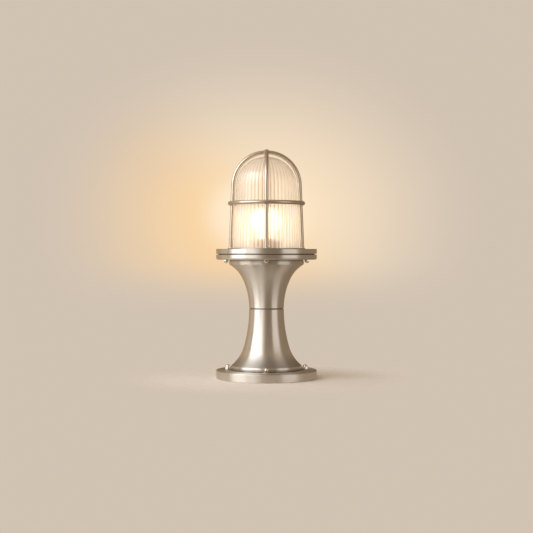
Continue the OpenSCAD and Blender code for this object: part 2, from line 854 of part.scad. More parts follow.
module earth_screw() {
    color(BRASS)
        translate([-earth_r, 0, 0]) {
            translate([0, 0, hole_gap])
                cylinder(d = earth_screw_d, h = earth_head_z - hole_gap);
            translate([0, 0, ground_plate_t])
                ring(earth_head_r + earth_washer_w, earth_screw_d / 2 - hole_gap, washer_t);
            translate([0, 0, earth_head_z])
                difference() {
                    cylinder(r = earth_head_r, h = earth_head_h);
                    translate([0, 0, earth_head_h])
                        cross_slot(earth_head_r / 5, earth_head_r * 1.4, earth_head_h / 2);
                    translate([0, earth_lead_y, -past])
                        cylinder(r = lead_r + hole_gap, h = earth_screw_d);
                }
        }
}

module lead_live() {
    color("saddlebrown")
        lead(supply_route(0, -1), [0, 1, 0.2]);
}

module lead_neutral() {
    color("steelblue")
        lead(supply_route(block_pitch, 1), [0, 1, 0.2]);
}

module lead_earth() {
    color("olivedrab")
        lead(earth_route(-block_pitch), [0.8, -0.6, 0]);
}

// Column

module lower_column() {
    color(NICKEL)
        difference() {
            translate([0, 0, seam_z])
                mirror([0, 0, 1])
                    column_casting(lower_column_h, foot_r, foot_rim_h, chamber_r, lower_mid_angle,
                                   lower_end_angle);
            translate([0, 0, seam_z - spigot_depth - hole_gap])
                cylinder(r = spigot_r + hole_gap, h = spigot_depth + hole_gap + past);
            around(fixings, foot_screw_ring_r, diagonal)
                translate([0, 0, foot_z - past])
                    cylinder(r = rim_screw_r + thread_gap, h = foot_screw_bite + past);
        }
}

module waist_seal() {
    color(RUBBER)
        translate([0, 0, seam_z])
            ring(waist_r - seal_inset, spigot_r + hole_gap, seal_t);
}

module upper_column() {
    color(NICKEL)
        difference() {
            union() {
                translate([0, 0, upper_z])
                    column_casting(upper_column_h, upper_r, upper_rim_h, upper_bore_r, upper_mid_angle,
                                   upper_end_angle);
                translate([0, 0, upper_z - seal_t - spigot_depth])
                    ring(spigot_r, stem_r + hole_gap, seal_t + spigot_depth + web_t / 2);
            }
            around(fixings, rim_screw_ring_r, diagonal)
                translate([0, 0, upper_rim_top_z - rim_screw_bite])
                    cylinder(r = rim_screw_r + thread_gap, h = rim_screw_bite + past);
        }
}

module stem_tube() {
    color(BRASS)
        translate([0, 0, stem_z])
            ring(stem_r, stem_bore_d / 2, stem_top_z - stem_z);
}

module stem_washers() {
    color(STEEL)
        for (z = [seam_z - web_t - stem_washer_t, upper_z + web_t])
            translate([0, 0, z])
                ring(stem_washer_d / 2, stem_r + hole_gap, stem_washer_t);
}

module stem_nuts() {
    color(BRASS)
        for (z = [stem_z + stem_tail, upper_z + web_t + stem_washer_t])
            translate([0, 0, z])
                difference() {
                    hexagon(stem_nut_af, stem_nut_h);
                    translate([0, 0, -past])
                        cylinder(r = stem_r + thread_gap, h = stem_nut_h + 2 * past);
                }
}

module rim_seal() {
    color(RUBBER)
        translate([0, 0, upper_rim_top_z])
            difference() {
                ring(upper_r - seal_inset, upper_bore_r, seal_t);
                around(fixings, rim_screw_ring_r, diagonal)
                    translate([0, 0, -past])
                        cylinder(r = rim_screw_r + hole_gap, h = seal_t + 2 * past);
            }
}

module rim_screws() {
    color(STEEL)
        around(fixings, rim_screw_ring_r, diagonal)
            translate([0, 0, gallery_top_z])
                difference() {
                    countersunk(rim_screw_d, rim_screw_head_r, rim_screw_head_h,
                                gallery_t + seal_t + rim_screw_bite - hole_gap);
                    cross_slot(rim_screw_d * 0.2, rim_screw_d, rim_screw_head_h / 2);
                }
}

// Gallery

module gallery_plate() {
    color(NICKEL)
        difference() {
            translate([0, 0, gallery_z])
                rotate_extrude($fn = smooth_fn)
                    difference() {
                        union() {
                            translate([0, gallery_edge_r])
                                square([flange_r, gallery_t - gallery_edge_r]);
                            square([flange_r - gallery_edge_r, gallery_t]);
                            translate([flange_r - gallery_edge_r, gallery_edge_r])
                                circle(r = gallery_edge_r);
                        }
                        edge_cut(flange_r, gallery_t, flange_chamfer, 1);
                        square([holder_r + past, gallery_t + past]);
                    }
            around(fixings, flange_screw_ring_r)
                translate([0, 0, gallery_z - past])
                    cylinder(r = flange_screw_d / 2 + hole_gap, h = gallery_t + 2 * past);
            around(fixings, rim_screw_ring_r, diagonal)
                translate([0, 0, gallery_top_z])
                    countersink(rim_screw_d, rim_screw_head_r, rim_screw_head_h, gallery_t + past, hole_gap);
        }
}

module flange_screws() {
    color(NICKEL)
        around(fixings, flange_screw_ring_r)
            translate([0, 0, gallery_z]) {
                cylinder(d = flange_screw_d, h = gallery_t + flange_seal_t + flange_screw_bite);
                mirror([0, 0, 1])
                    domed_hexagon(flange_screw_af, flange_screw_hex_h, flange_screw_head_h);
            }
}

module flange_seal() {
    color(RUBBER)
        translate([0, 0, gallery_top_z])
            difference() {
                ring(flange_r - flange_seal_inset, keep_recess_r, flange_seal_t);
                around(fixings, flange_screw_ring_r)
                    translate([0, 0, -past])
                        cylinder(r = flange_screw_d / 2 + hole_gap, h = flange_seal_t + 2 * past);
            }
}

// Lampholder

module holder_bush() {
    color(BRASS)
        translate([0, 0, holder_z])
            difference() {
                union() {
                    cylinder(r = bush_r, h = bush_h);
                    translate([0, 0, holder_wall])
                        cylinder(r = bush_flange_r, h = bush_flange_h);
                }
                translate([0, 0, -past])
                    cylinder(r = stem_r + thread_gap, h = bush_h + 2 * past);
            }
}

module holder_base() {
    bevel = holder_wall;
    color(CERAMIC)
        translate([0, 0, holder_z])
            rotate_extrude()
                difference() {
                    polygon([[0, 0], [holder_r - 2 * bevel, 0], [holder_r - bevel / 2, bevel],
                             [holder_r, 2 * bevel], [holder_r, holder_base_h], [0, holder_base_h]]);
                    translate([0, holder_wall])
                        square([holder_r - 2 * bevel, holder_base_h]);
                    translate([0, 2 * bevel])
                        square([holder_r - holder_wall, holder_base_h]);
                    square([bush_r + thread_gap, holder_base_h]);
                }
}

module holder_skirt() {
    bead_h = 4;
    bead_w = 0.8;
    color(CERAMIC)
        translate([0, 0, holder_floor_z])
            difference() {
                rotate_extrude()
                    difference() {
                        union() {
                            square([holder_r - bead_w, holder_skirt_h]);
                            square([holder_r, bead_h]);
                            translate([0, holder_skirt_h - bead_h])
                                square([holder_r, bead_h]);
                        }
                        translate([0, holder_floor_t])
                            square([shell_out_r + thread_gap, holder_skirt_h]);
                        square([rivet_r + thread_gap, holder_skirt_h]);
                        edge_cut(holder_r, holder_skirt_h, bead_w, 1);
                    }
            }
}

module holder_shell() {
    color(BRASS)
        translate([0, 0, shell_z])
            difference() {
                ring(shell_out_r, shell_r, holder_top_z - shell_z - shell_sink);
                rotate(90)
                    translate([-shell_tab_w / 2, 0, -past])
                        cube([shell_tab_w, shell_out_r + past, past + shell_tab_w]);
            }
}

module holder_contact() {
    color(BRASS)
        translate([0, 0, holder_floor_z]) {
            translate([0, 0, holder_floor_t])
                cylinder(r = contact_r, h = contact_h);
            cylinder(r = rivet_r, h = holder_floor_t + contact_h / 2);
            translate([0, 0, -rivet_tail])
                cylinder(r = 2 * rivet_r, h = rivet_tail);
        }
}

module holder_terminals() {
    color(BRASS)
        for (side = [-1, 1])
            translate([side * holder_terminal_r, 0, holder_terminal_z])
                difference() {
                    translate([-holder_terminal_w / 2, -holder_terminal_w / 2, 0])
                        cube(holder_terminal_w);
                    translate([0, 0, -past])
                        cylinder(r = lead_r + hole_gap, h = holder_terminal_w);
                    translate([0, -holder_terminal_w / 2 - past, holder_terminal_w / 2])
                        rotate([-90, 0, 0])
                            cylinder(r = block_screw_r + thread_gap, h = holder_terminal_w / 2 + past);
                }
}

module holder_screws() {
    color(STEEL)
        for (side = [-1, 1])
            translate([side * holder_terminal_r, 0, holder_terminal_z] + holder_terminal_w / 2 * [0, -1, 1])
                rotate([-90, 0, 0])
                    difference() {
                        union() {
                            cylinder(r = block_screw_r, h = holder_terminal_w / 2 - lead_r - thread_gap);
                            translate([0, 0, -block_screw_r])
                                cylinder(r = 1.6 * block_screw_r, h = block_screw_r);
                        }
                        translate([0, 0, -block_screw_r])
                            slot(1.6 * block_screw_r);
                    }
}

// Guard

module guard_ring() {
    lip_r = guard_bore_r + guard_lip_w;
    color(NICKEL)
        difference() {
            union() {
                translate([0, 0, guard_z])
                    rotate_extrude($fn = smooth_fn)
                        difference() {
                            union() {
                                square([flange_r, guard_ring_t]);
                                square([lip_r, guard_ring_t + guard_lip_h]);
                            }
                            edge_cut(flange_r, 0, flange_chamfer, -1);
                            edge_cut(flange_r, guard_ring_t, flange_chamfer, 1);
                            edge_cut(lip_r, guard_ring_t + guard_lip_h, guard_lip_h * 0.7, 1);
                        }
                around(fixings, leg_r)
                    translate([0, 0, guard_lip_z - past])
                        cylinder(r1 = rod_r + leg_collar_w, r2 = rod_r + leg_collar_w / 2,
                                 h = leg_collar_h + past);
            }
            translate([0, 0, guard_z - past])
                cylinder(r = guard_bore_r, h = guard_lip_z - guard_z + leg_collar_h + 2 * past,
                         $fn = smooth_fn);
            translate([0, 0, guard_z - past])
                cylinder(r = keep_recess_r, h = keep_ring_t + past);
            translate([0, 0, guard_z])
                cylinder(r = globe_recess_r, h = globe_recess_z - guard_z);
            leg_rods(braze_gap, [side_arch_r, front_arch_r]);
            around(fixings, flange_screw_ring_r)
                translate([0, 0, guard_z - past])
                    cylinder(r = flange_hole_r, h = flange_hole_h + past);
            around(fixings, keep_screw_ring_r, diagonal)
                translate([0, 0, guard_z])
                    cylinder(r = keep_screw_d / 2 + thread_gap, h = keep_ring_t + keep_screw_bite);
        }
}

module guard_front_arch() {
    tilt = leg_tilt(front_arch_r);
    color(NICKEL)
        rotate(90) {
            arch_rod(front_arch_r, tilt, 180 - tilt);
            for (turn = [0, 180])
                rotate(turn)
                    leg_rod(front_arch_r, 0, leg_lap);
        }
}

module guard_side_arches() {
    crown_end = acos(rod_r / 2 / side_arch_r);
    color(NICKEL)
        for (turn = [0, 180])
            rotate(turn)
                difference() {
                    union() {
                        arch_rod(side_arch_r, leg_tilt(side_arch_r), crown_end);
                        leg_rod(side_arch_r, 0, leg_lap);
                    }
                    translate([0, 2 * rod_d, arch_z + front_arch_r])
                        rotate([90, 0, 0])
                            cylinder(r = rod_r + braze_gap, h = 4 * rod_d);
                }
}

module guard_hoop() {
    color(NICKEL)
        difference() {
            translate([0, 0, hoop_z])
                rotate_extrude($fn = smooth_fn)
                    translate([hoop_r, 0])
                        circle(r = rod_r);
            leg_rods(braze_gap, [side_arch_r, front_arch_r]);
        }
}

// Outline of the dome's shoulder, inset from its outside, from the wall up to the crown
function shoulder_outline(inset) =
    [for (i = [0 : dome_steps]) let (a = crown_angle * i / dome_steps)
        [shoulder_r, shoulder_z] + (dome_shoulder_r - inset) * [cos(a), sin(a)]];

// Outline of the dome's crown, inset from its outside, from the shoulder up to the axis
function crown_outline(inset) =
    [for (i = [0 : dome_steps]) let (a = crown_angle + (90 - crown_angle) * i / dome_steps)
        [0, crown_z] + (dome_crown_r - inset) * [cos(a), sin(a)]];

// Glass between an outer and an inner outline, round the axis
module dome_glass(outside, inside) {
    color(GLASS)
        rotate_extrude($fn = smooth_fn)
            polygon(concat(outside, [for (i = [len(inside) - 1 : -1 : 0]) inside[i]]));
}

// The globe is one piece of glass; its wall, its shoulder and its apex are separate solids that meet face to face
module globe_wall() {
    color(GLASS)
        difference() {
            rotate_extrude($fn = smooth_fn)
                polygon([[0, globe_z], [globe_lip_r, globe_z], [globe_lip_r, globe_z + globe_lip_t],
                         [globe_r, globe_z + globe_lip_t], [spring_r, shoulder_z], [0, shoulder_z]]);
            translate([0, 0, globe_z - past])
                linear_extrude(height = shoulder_z - globe_z + 2 * past)
                    union() {
                        circle(r = globe_bore_r, $fn = smooth_fn);
                        around(flute_count, globe_bore_r + flute_depth - flute_r)
                            circle(r = flute_r);
                    }
        }
}

module globe_shoulder() {
    dome_glass(shoulder_outline(0), shoulder_outline(globe_wall));
}

module globe_apex() {
    dome_glass(crown_outline(0), crown_outline(globe_wall));
}

module globe_seal() {
    color(RUBBER)
        translate([0, 0, globe_z + globe_lip_t])
            ring(globe_lip_r, guard_bore_r, globe_seal_t);
}

module keep_ring() {
    color(STEEL)
        translate([0, 0, guard_z])
            difference() {
                ring(keep_ring_r, globe_lip_r - keep_ring_hold, keep_ring_t);
                around(fixings, keep_screw_ring_r, diagonal)
                    rotate([180, 0, 0])
                        countersink(keep_screw_d, keep_screw_head_r, keep_screw_head_h, 2 * keep_ring_t,
                                    hole_gap / 2);
            }
}

module keep_screws() {
    color(STEEL)
        around(fixings, keep_screw_ring_r, diagonal)
            translate([0, 0, guard_z])
                rotate([180, 0, 0])
                    countersunk(keep_screw_d, keep_screw_head_r, keep_screw_head_h,
                                keep_ring_t + keep_screw_bite - hole_gap);
}

// Lamp

module lamp_tip() {
    color(CAP_METAL)
        translate([0, 0, tip_z]) {
            cylinder(r = tip_r, h = lamp_tip_h);
            cylinder(r = tip_pin_r, h = lamp_tip_h + tip_pin_h);
        }
}

module lamp_insulator() {
    color(RUBBER)
        translate([0, 0, tip_z + lamp_tip_h])
            difference() {
                cylinder(r1 = tip_r + lamp_cap_wall, r2 = lamp_cap_r - 2 * lamp_cap_wall, h = lamp_insulator_h);
                translate([0, 0, -past])
                    cylinder(r = tip_pin_r + slip_gap, h = tip_pin_h + slip_gap + past);
            }
}

module lamp_cap() {
    color(CAP_METAL)
        translate([0, 0, cap_z])
            difference() {
                cylinder(r = lamp_cap_r, h = cap_top_z - cap_z);
                translate([0, 0, lamp_cap_wall])
                    cylinder(r = lamp_cap_r - lamp_cap_wall, h = cap_top_z - cap_z);
            }
}

// Half section of the bulb, or of its hollow when inset by its wall
module bulb_area(inset) {
    intersection() {
        translate([0, bulb_z])
            circle(r = bulb_r - inset, $fn = smooth_fn);
        translate([0, bulb_z - bulb_r])
            square([bulb_r, 2 * bulb_r]);
    }
    translate([0, cap_top_z - neck_lap])
        square([neck_r - inset, bulb_z - cap_top_z + neck_lap]);
}

module lamp_bulb() {
    color(GLASS)
        rotate_extrude()
            difference() {
                bulb_area(0);
                bulb_area(bulb_wall);
            }
}

module lamp_stem() {
    color(GLASS)
        translate([0, 0, cap_top_z - neck_lap])
            rotate_extrude()
                polygon([[0, 0], [mount_foot_r, 0], [mount_foot_r, mount_foot_h],
                         [mount_r + mount_flare_w, mount_flare_h], [mount_r, mount_flare_h + mount_taper_h],
                         [mount_r, mount_h], [0, mount_h]]);
}

module lamp_filaments() {
    color("gold")
        around(filament_count, filament_ring_r, diagonal)
            translate([0, 0, bulb_z - filament_l / 2]) {
                cylinder(r = filament_r, h = filament_l);
                for (z = [filament_end, filament_l - filament_end])
                    translate([0, 0, z])
                        rotate([0, -90, 0])
                            cylinder(r = filament_wire_r, h = filament_ring_r - mount_r - braze_gap);
            }
}

ground_plate();
ground_studs();
base_disc();
dome_nut_washers();
dome_nuts();
base_seal();
foot_screws();
gland_body();
gland_seal();
gland_cap();
terminal_block();
terminal_screws();
block_screws();
earth_screw();
lead_live();
lead_neutral();
lead_earth();
lower_column();
waist_seal();
upper_column();
stem_tube();
stem_washers();
stem_nuts();
rim_seal();
rim_screws();
gallery_plate();
flange_screws();
flange_seal();
holder_bush();
holder_base();
holder_skirt();
holder_shell();
holder_contact();
holder_terminals();
holder_screws();
guard_ring();
guard_front_arch();
guard_side_arches();
guard_hoop();
globe_wall();
globe_shoulder();
globe_apex();
globe_seal();
keep_ring();
keep_screws();
lamp_tip();
lamp_insulator();
lamp_cap();
lamp_bulb();
lamp_stem();
lamp_filaments();
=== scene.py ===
"""Post lantern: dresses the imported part, and adds a fluted globe, a threaded lamp cap and a studio."""

import logging
import math
from dataclasses import dataclass
from enum import Enum
from typing import Callable, Optional, Sequence, Union

import bpy
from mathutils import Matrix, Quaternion, Vector


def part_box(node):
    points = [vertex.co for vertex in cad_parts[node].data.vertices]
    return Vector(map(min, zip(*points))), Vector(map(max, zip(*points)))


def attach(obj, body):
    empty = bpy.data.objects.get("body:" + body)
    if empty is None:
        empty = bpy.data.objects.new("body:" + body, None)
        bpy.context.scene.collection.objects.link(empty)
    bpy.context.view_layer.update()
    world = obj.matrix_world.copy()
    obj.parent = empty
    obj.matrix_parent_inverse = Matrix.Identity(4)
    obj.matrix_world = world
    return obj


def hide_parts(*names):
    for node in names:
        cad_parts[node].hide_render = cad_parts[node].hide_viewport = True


LOG = logging.getLogger("lantern")
MM = 0.001

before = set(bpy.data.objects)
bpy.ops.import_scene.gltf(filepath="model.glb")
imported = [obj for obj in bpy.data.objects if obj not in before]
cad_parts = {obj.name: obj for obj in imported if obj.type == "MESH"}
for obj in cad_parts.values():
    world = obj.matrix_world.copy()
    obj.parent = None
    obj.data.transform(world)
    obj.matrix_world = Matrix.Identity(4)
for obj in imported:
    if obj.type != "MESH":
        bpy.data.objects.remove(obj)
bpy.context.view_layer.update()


class Body(Enum):
    """The bodies that pieces ride on."""

    COLUMN = "column"
    GUARD = "guard"
    LAMP = "lamp"


Colour = tuple[float, float, float]
Span = tuple[float, float]
Value = Union["Wire", float, int, Sequence[float]]
Settings = dict[str, object]
Inputs = dict[Union[str, int], Value]


def rgba(colour: Colour) -> tuple[float, float, float, float]:
    """A colour with full alpha, as sockets take it."""
    return (*colour, 1.0)


# Shader maths


@dataclass(frozen=True)
class Wire:
    """A shader socket that takes part in Python sums; each sum adds Math nodes."""

    tree: "Tree"
    socket: bpy.types.NodeSocket

    def math(self, operation: str, *others: Value, turned: bool = False) -> "Wire":
        """A Math node on this value.

        Args:
            operation: the Math node's operation.
            others: the values of its other inputs.
            turned: puts this value second.

        Returns:
            The node's output.
        """
        values = [self, *others]
        if turned:
            values.reverse()
        return self.tree.wire("ShaderNodeMath", {"operation": operation}, dict(enumerate(values)))

    def __add__(self, other: Value) -> "Wire":
        """Sum."""
        return self.math("ADD", other)

    def __radd__(self, other: Value) -> "Wire":
        """Sum, reflected."""
        return self.math("ADD", other)

    def __sub__(self, other: Value) -> "Wire":
        """Difference."""
        return self.math("SUBTRACT", other)

    def __rsub__(self, other: Value) -> "Wire":
        """Difference, reflected."""
        return self.math("SUBTRACT", other, turned=True)

    def __mul__(self, other: Value) -> "Wire":
        """Product."""
        return self.math("MULTIPLY", other)

    def __rmul__(self, other: Value) -> "Wire":
        """Product, reflected."""
        return self.math("MULTIPLY", other)

    def __truediv__(self, other: Value) -> "Wire":
        """Quotient."""
        return self.math("DIVIDE", other)

    def __rtruediv__(self, other: Value) -> "Wire":
        """Quotient, reflected."""
        return self.math("DIVIDE", other, turned=True)

    def root(self) -> "Wire":
        """Square root."""
        return self.math("SQRT")

    def smooth(self, low: float, high: float) -> "Wire":
        """A smooth step of this value.

        Args:
            low: where the step is 0; it may be the larger of the two.
            high: where the step is 1.

        Returns:
            The step, from 0 to 1.
        """
        settings = {"interpolation_type": "SMOOTHSTEP"}
        if low < high:
            inputs = {"Value": self, "From Min": low, "From Max": high}
            return self.tree.wire("ShaderNodeMapRange", settings, inputs)
        return 1.0 - self.smooth(high, low)

    def window(self, rise: Span, fall: Span) -> "Wire":
        """1 between two smooth edges, and 0 outside them."""
        return self.smooth(*rise) * self.smooth(fall[1], fall[0])


class Tree:
    """The node tree of a material or of the world."""

    def __init__(self, owner: Union[bpy.types.Material, bpy.types.World]) -> None:
        """Empties the owner's node tree.

        Args:
            owner: the material or the world.
        """
        owner.use_nodes = True
        self.nodes = owner.node_tree.nodes
        self.links = owner.node_tree.links
        self.nodes.clear()

    def node(self, kind: str, settings: Settings, inputs: Inputs) -> bpy.types.Node:
        """Makes a node.

        Args:
            kind: the node's type.
            settings: the node's own settings, set first.
            inputs: a value or a wire for each socket, by name or number.

        Returns:
            The node.
        """
        made = self.nodes.new(kind)
        for name, setting in settings.items():
            setattr(made, name, setting)
        for name, value in inputs.items():
            if isinstance(value, Wire):
                self.links.new(value.socket, made.inputs[name])
            else:
                made.inputs[name].default_value = value
        return made

    def wire(self, kind: str, settings: Settings, inputs: Inputs, output: Union[str, int] = 0) -> Wire:
        """Makes a node and returns one of its outputs as a wire."""
        return Wire(self, self.node(kind, settings, inputs).outputs[output])

    def coordinates(self, space: str) -> Wire:
        """The point in a space of the Texture Coordinate node."""
        return self.wire("ShaderNodeTexCoord", {}, {}, space)

    def split(self, vector: Wire) -> tuple[Wire, Wire, Wire]:
        """The three parts of a vector."""
        parts = self.node("ShaderNodeSeparateXYZ", {}, {0: vector}).outputs
        return Wire(self, parts[0]), Wire(self, parts[1]), Wire(self, parts[2])

    def join(self, x: Value, y: Value, z: Value) -> Wire:
        """A vector of three values."""
        return self.wire("ShaderNodeCombineXYZ", {}, {0: x, 1: y, 2: z})

    def mix(self, share: Value, first: Value, second: Value) -> Wire:
        """A colour between two colours."""
        return self.wire("ShaderNodeMix", {"data_type": "RGBA"}, {0: share, 6: first, 7: second}, 2)

    def noise(self, point: Wire, scale: float, detail: float = 2.0, w: Value = 0.0) -> Wire:
        """Noise at a point.

        Args:
            point: the point.
            scale: how many bumps there are to one unit of the point.
            detail: how many finer layers it has.
            w: the noise's fourth coordinate.

        Returns:
            The noise, from 0 to 1.
        """
        return self.wire("ShaderNodeTexNoise", {"noise_dimensions": "4D"},
                         {"Vector": point, "W": w, "Scale": scale, "Detail": detail, "Roughness": 0.6})

    def bump(self, height: Wire, depth: float, normal: Optional[Wire] = None) -> Wire:
        """A normal tilted by a relief.

        Args:
            height: the relief, from 0 to 1.
            depth: how deep it is, in metres.
            normal: the normal to start from, if it isn't the surface's own.

        Returns:
            The tilted normal.
        """
        inputs = {"Strength": 1.0, "Distance": depth, "Height": height}
        if normal is not None:
            inputs["Normal"] = normal
        return self.wire("ShaderNodeBump", {}, inputs)

    def edges(self, radius: float) -> tuple[Wire, Wire]:
        """Edges eased by a radius.

        Args:
            radius: how far an edge is eased, in metres.

        Returns:
            The eased normal, and how far it leaves the surface's own, from 0 to 1 on a sharp edge.
        """
        eased = self.wire("ShaderNodeBevel", {"samples": 4}, {"Radius": radius})
        flat = self.wire("ShaderNodeNewGeometry", {}, {}, "Normal")
        along = self.wire("ShaderNodeVectorMath", {"operation": "DOT_PRODUCT"}, {0: eased, 1: flat}, "Value")
        return eased, along.smooth(0.99, 0.80)


# Finishes


@dataclass(frozen=True)
class Finish:
    """A procedural finish: each kind says what its sockets hold, and varies the roughness about its value."""

    name: str
    colour: Colour
    roughness: float

    def sockets(self, tree: Tree) -> dict[str, Value]:
        """Says what the shader's sockets hold.

        Args:
            tree: the material's node tree.

        Returns:
            A value or a wire for each socket.
        """
        raise NotImplementedError

    def material(self) -> bpy.types.Material:
        """Builds the finish.

        Returns:
            The material.
        """
        made = bpy.data.materials.new(self.name)
        tree = Tree(made)
        shader = tree.wire("ShaderNodeBsdfPrincipled", {}, self.sockets(tree))
        tree.node("ShaderNodeOutputMaterial", {}, {"Surface": shader})
        return made

    def shade(self, tree: Tree, share: Wire, darker: float) -> Wire:
        """The finish's colour, down to a darker share of it where share is 0."""
        low = rgba(tuple(part * darker for part in self.colour))
        return tree.mix(share, low, rgba(self.colour))


@dataclass(frozen=True)
class TurnedMetal(Finish):
    """Metal finished on a lathe: fine rings round the upright axis, and highlights drawn out across them.

    Faces that look up are rougher, and painted darker as painted shade.
    """

    ring_scale: float = 900.0
    ring_depth: float = 0.012 * MM
    ring_drift: float = 1.5
    patch_scale: float = 30.0
    cross_grain: float = 0.93
    grain_turn: float = 0.25
    edge_r: float = 0.45 * MM
    # Painted shade: faces that look up take this darker tone, and are also made rougher.
    upward_shade_slope: Span = (0.4, 0.75)
    upward_shade_tone: float = 0.74
    upward_roughness: float = 0.28

    def sockets(self, tree: Tree) -> dict[str, Value]:
        """Rings by height and radius, faint patches of tone, bright edges, and painted shade on faces that
        look up.

        Args:
            tree: the material's node tree.

        Returns:
            A value or a wire for each socket.
        """
        point = tree.coordinates("Object")
        x, y, z = tree.split(point)
        radius = (x * x + y * y + 1e-9).root()
        around = tree.join(x / radius * self.ring_drift, y / radius * self.ring_drift, z * self.ring_scale)
        rings = tree.noise(around, 1.0, 3.0, radius * self.ring_scale)
        patches = tree.noise(point, self.patch_scale, 3.0)
        eased, edge = tree.edges(self.edge_r)
        wear = edge * patches
        _, _, up = tree.split(tree.coordinates("Normal"))
        # Painted shade: the colour is darkened on faces that look up.
        upward_shade_mask = up.smooth(*self.upward_shade_slope)
        clean = self.shade(tree, rings * 0.6 + patches * 0.4 + wear * 0.3, 0.86)
        upward_shade_colour = rgba(tuple(part * self.upward_shade_tone for part in self.colour))
        upward_dulling = upward_shade_mask * self.upward_roughness + (self.roughness - 0.10)
        return {
            "Base Color": tree.mix(upward_shade_mask, clean, upward_shade_colour),
            "Metallic": 1.0,
            "Roughness": rings * 0.12 + patches * 0.08 - wear * 0.14 + upward_dulling,
            "Anisotropic": self.cross_grain,
            "Anisotropic Rotation": self.grain_turn,
            "Normal": tree.bump(rings, self.ring_depth, eased),
        }


@dataclass(frozen=True)
class DrawnMetal(Finish):
    """Bright metal of rods and fasteners: fine scratches and faint patches of tone."""

    scratch_scale: float = 1800.0
    scratch_depth: float = 0.002 * MM
    scratch_stretch: float = 0.12
    patch_scale: float = 60.0
    edge_r: float = 0.3 * MM

    def sockets(self, tree: Tree) -> dict[str, Value]:
        """Scratches that are long one way, and patches.

        Args:
            tree: the material's node tree.

        Returns:
            A value or a wire for each socket.
        """
        point = tree.coordinates("Object")
        x, y, z = tree.split(point)
        scratches = tree.noise(tree.join(x, y, z * self.scratch_stretch), self.scratch_scale, 3.0)
        patches = tree.noise(point, self.patch_scale, 3.0)
        eased, edge = tree.edges(self.edge_r)
        wear = edge * patches
        return {
            "Base Color": self.shade(tree, scratches * 0.5 + patches * 0.5 + wear * 0.3, 0.84),
            "Metallic": 1.0,
            "Roughness": scratches * 0.12 + patches * 0.10 - wear * 0.12 + (self.roughness - 0.11),
            "Normal": tree.bump(scratches, self.scratch_depth, eased),
        }


@dataclass(frozen=True)
class PlatedSteel(Finish):
    """Zinc plated steel: a dull spangle of small facets."""

    spangle: float = 260.0
    grain_scale: float = 1400.0
    grain_depth: float = 0.01 * MM

    def sockets(self, tree: Tree) -> dict[str, Value]:
        """Cells of tone, with a fine grain in the roughness.

        Args:
            tree: the material's node tree.

        Returns:
            A value or a wire for each socket.
        """
        point = tree.coordinates("Object")
        cells = tree.wire("ShaderNodeTexVoronoi", {}, {"Vector": point, "Scale": self.spangle}, "Color")
        tone, _, _ = tree.split(cells)
        grain = tree.noise(point, self.grain_scale, 3.0)
        return {
            "Base Color": self.shade(tree, tone, 0.82),
            "Metallic": 1.0,
            "Roughness": tone * 0.12 + grain * 0.1 + (self.roughness - 0.11),
            "Normal": tree.bump(grain, self.grain_depth),
        }


@dataclass(frozen=True)
class Moulded(Finish):
    """Rubber, plastic or enamel: a fine grain and slow changes of tone, with an optional clear gloss."""

    grain_scale: float = 900.0
    grain_depth: float = 0.02 * MM
    patch_scale: float = 45.0
    gloss: float = 0.0

    def sockets(self, tree: Tree) -> dict[str, Value]:
        """Grain, patches and gloss.

        Args:
            tree: the material's node tree.

        Returns:
            A value or a wire for each socket.
        """
        point = tree.coordinates("Object")
        grain = tree.noise(point, self.grain_scale, 4.0)
        patches = tree.noise(point, self.patch_scale, 3.0)
        return {
            "Base Color": self.shade(tree, grain * 0.4 + patches * 0.6, 0.8),
            "Roughness": grain * 0.16 + patches * 0.10 + (self.roughness - 0.13),
            "Coat Weight": self.gloss,
            "Coat Roughness": 0.08,
            "Normal": tree.bump(grain, self.grain_depth),
        }


@dataclass(frozen=True)
class ClearGlass(Finish):
    """Pressed clear glass: slightly uneven, with faint warm body colour."""

    ripple_scale: float = 40.0
    waviness: float = 0.002 * MM
    bend: float = 1.5
    clarity: float = 1.0

    def sockets(self, tree: Tree) -> dict[str, Value]:
        """Transmission with a slow ripple in the surface.

        Args:
            tree: the material's node tree.

        Returns:
            A value or a wire for each socket.
        """
        point = tree.coordinates("Object")
        ripple = tree.noise(point, self.ripple_scale, 1.0)
        return {
            "Base Color": self.shade(tree, ripple, 0.97),
            "Roughness": ripple * 0.06 + (self.roughness - 0.03),
            "IOR": self.bend,
            "Transmission Weight": self.clarity,
            "Normal": tree.bump(ripple, self.waviness),
        }


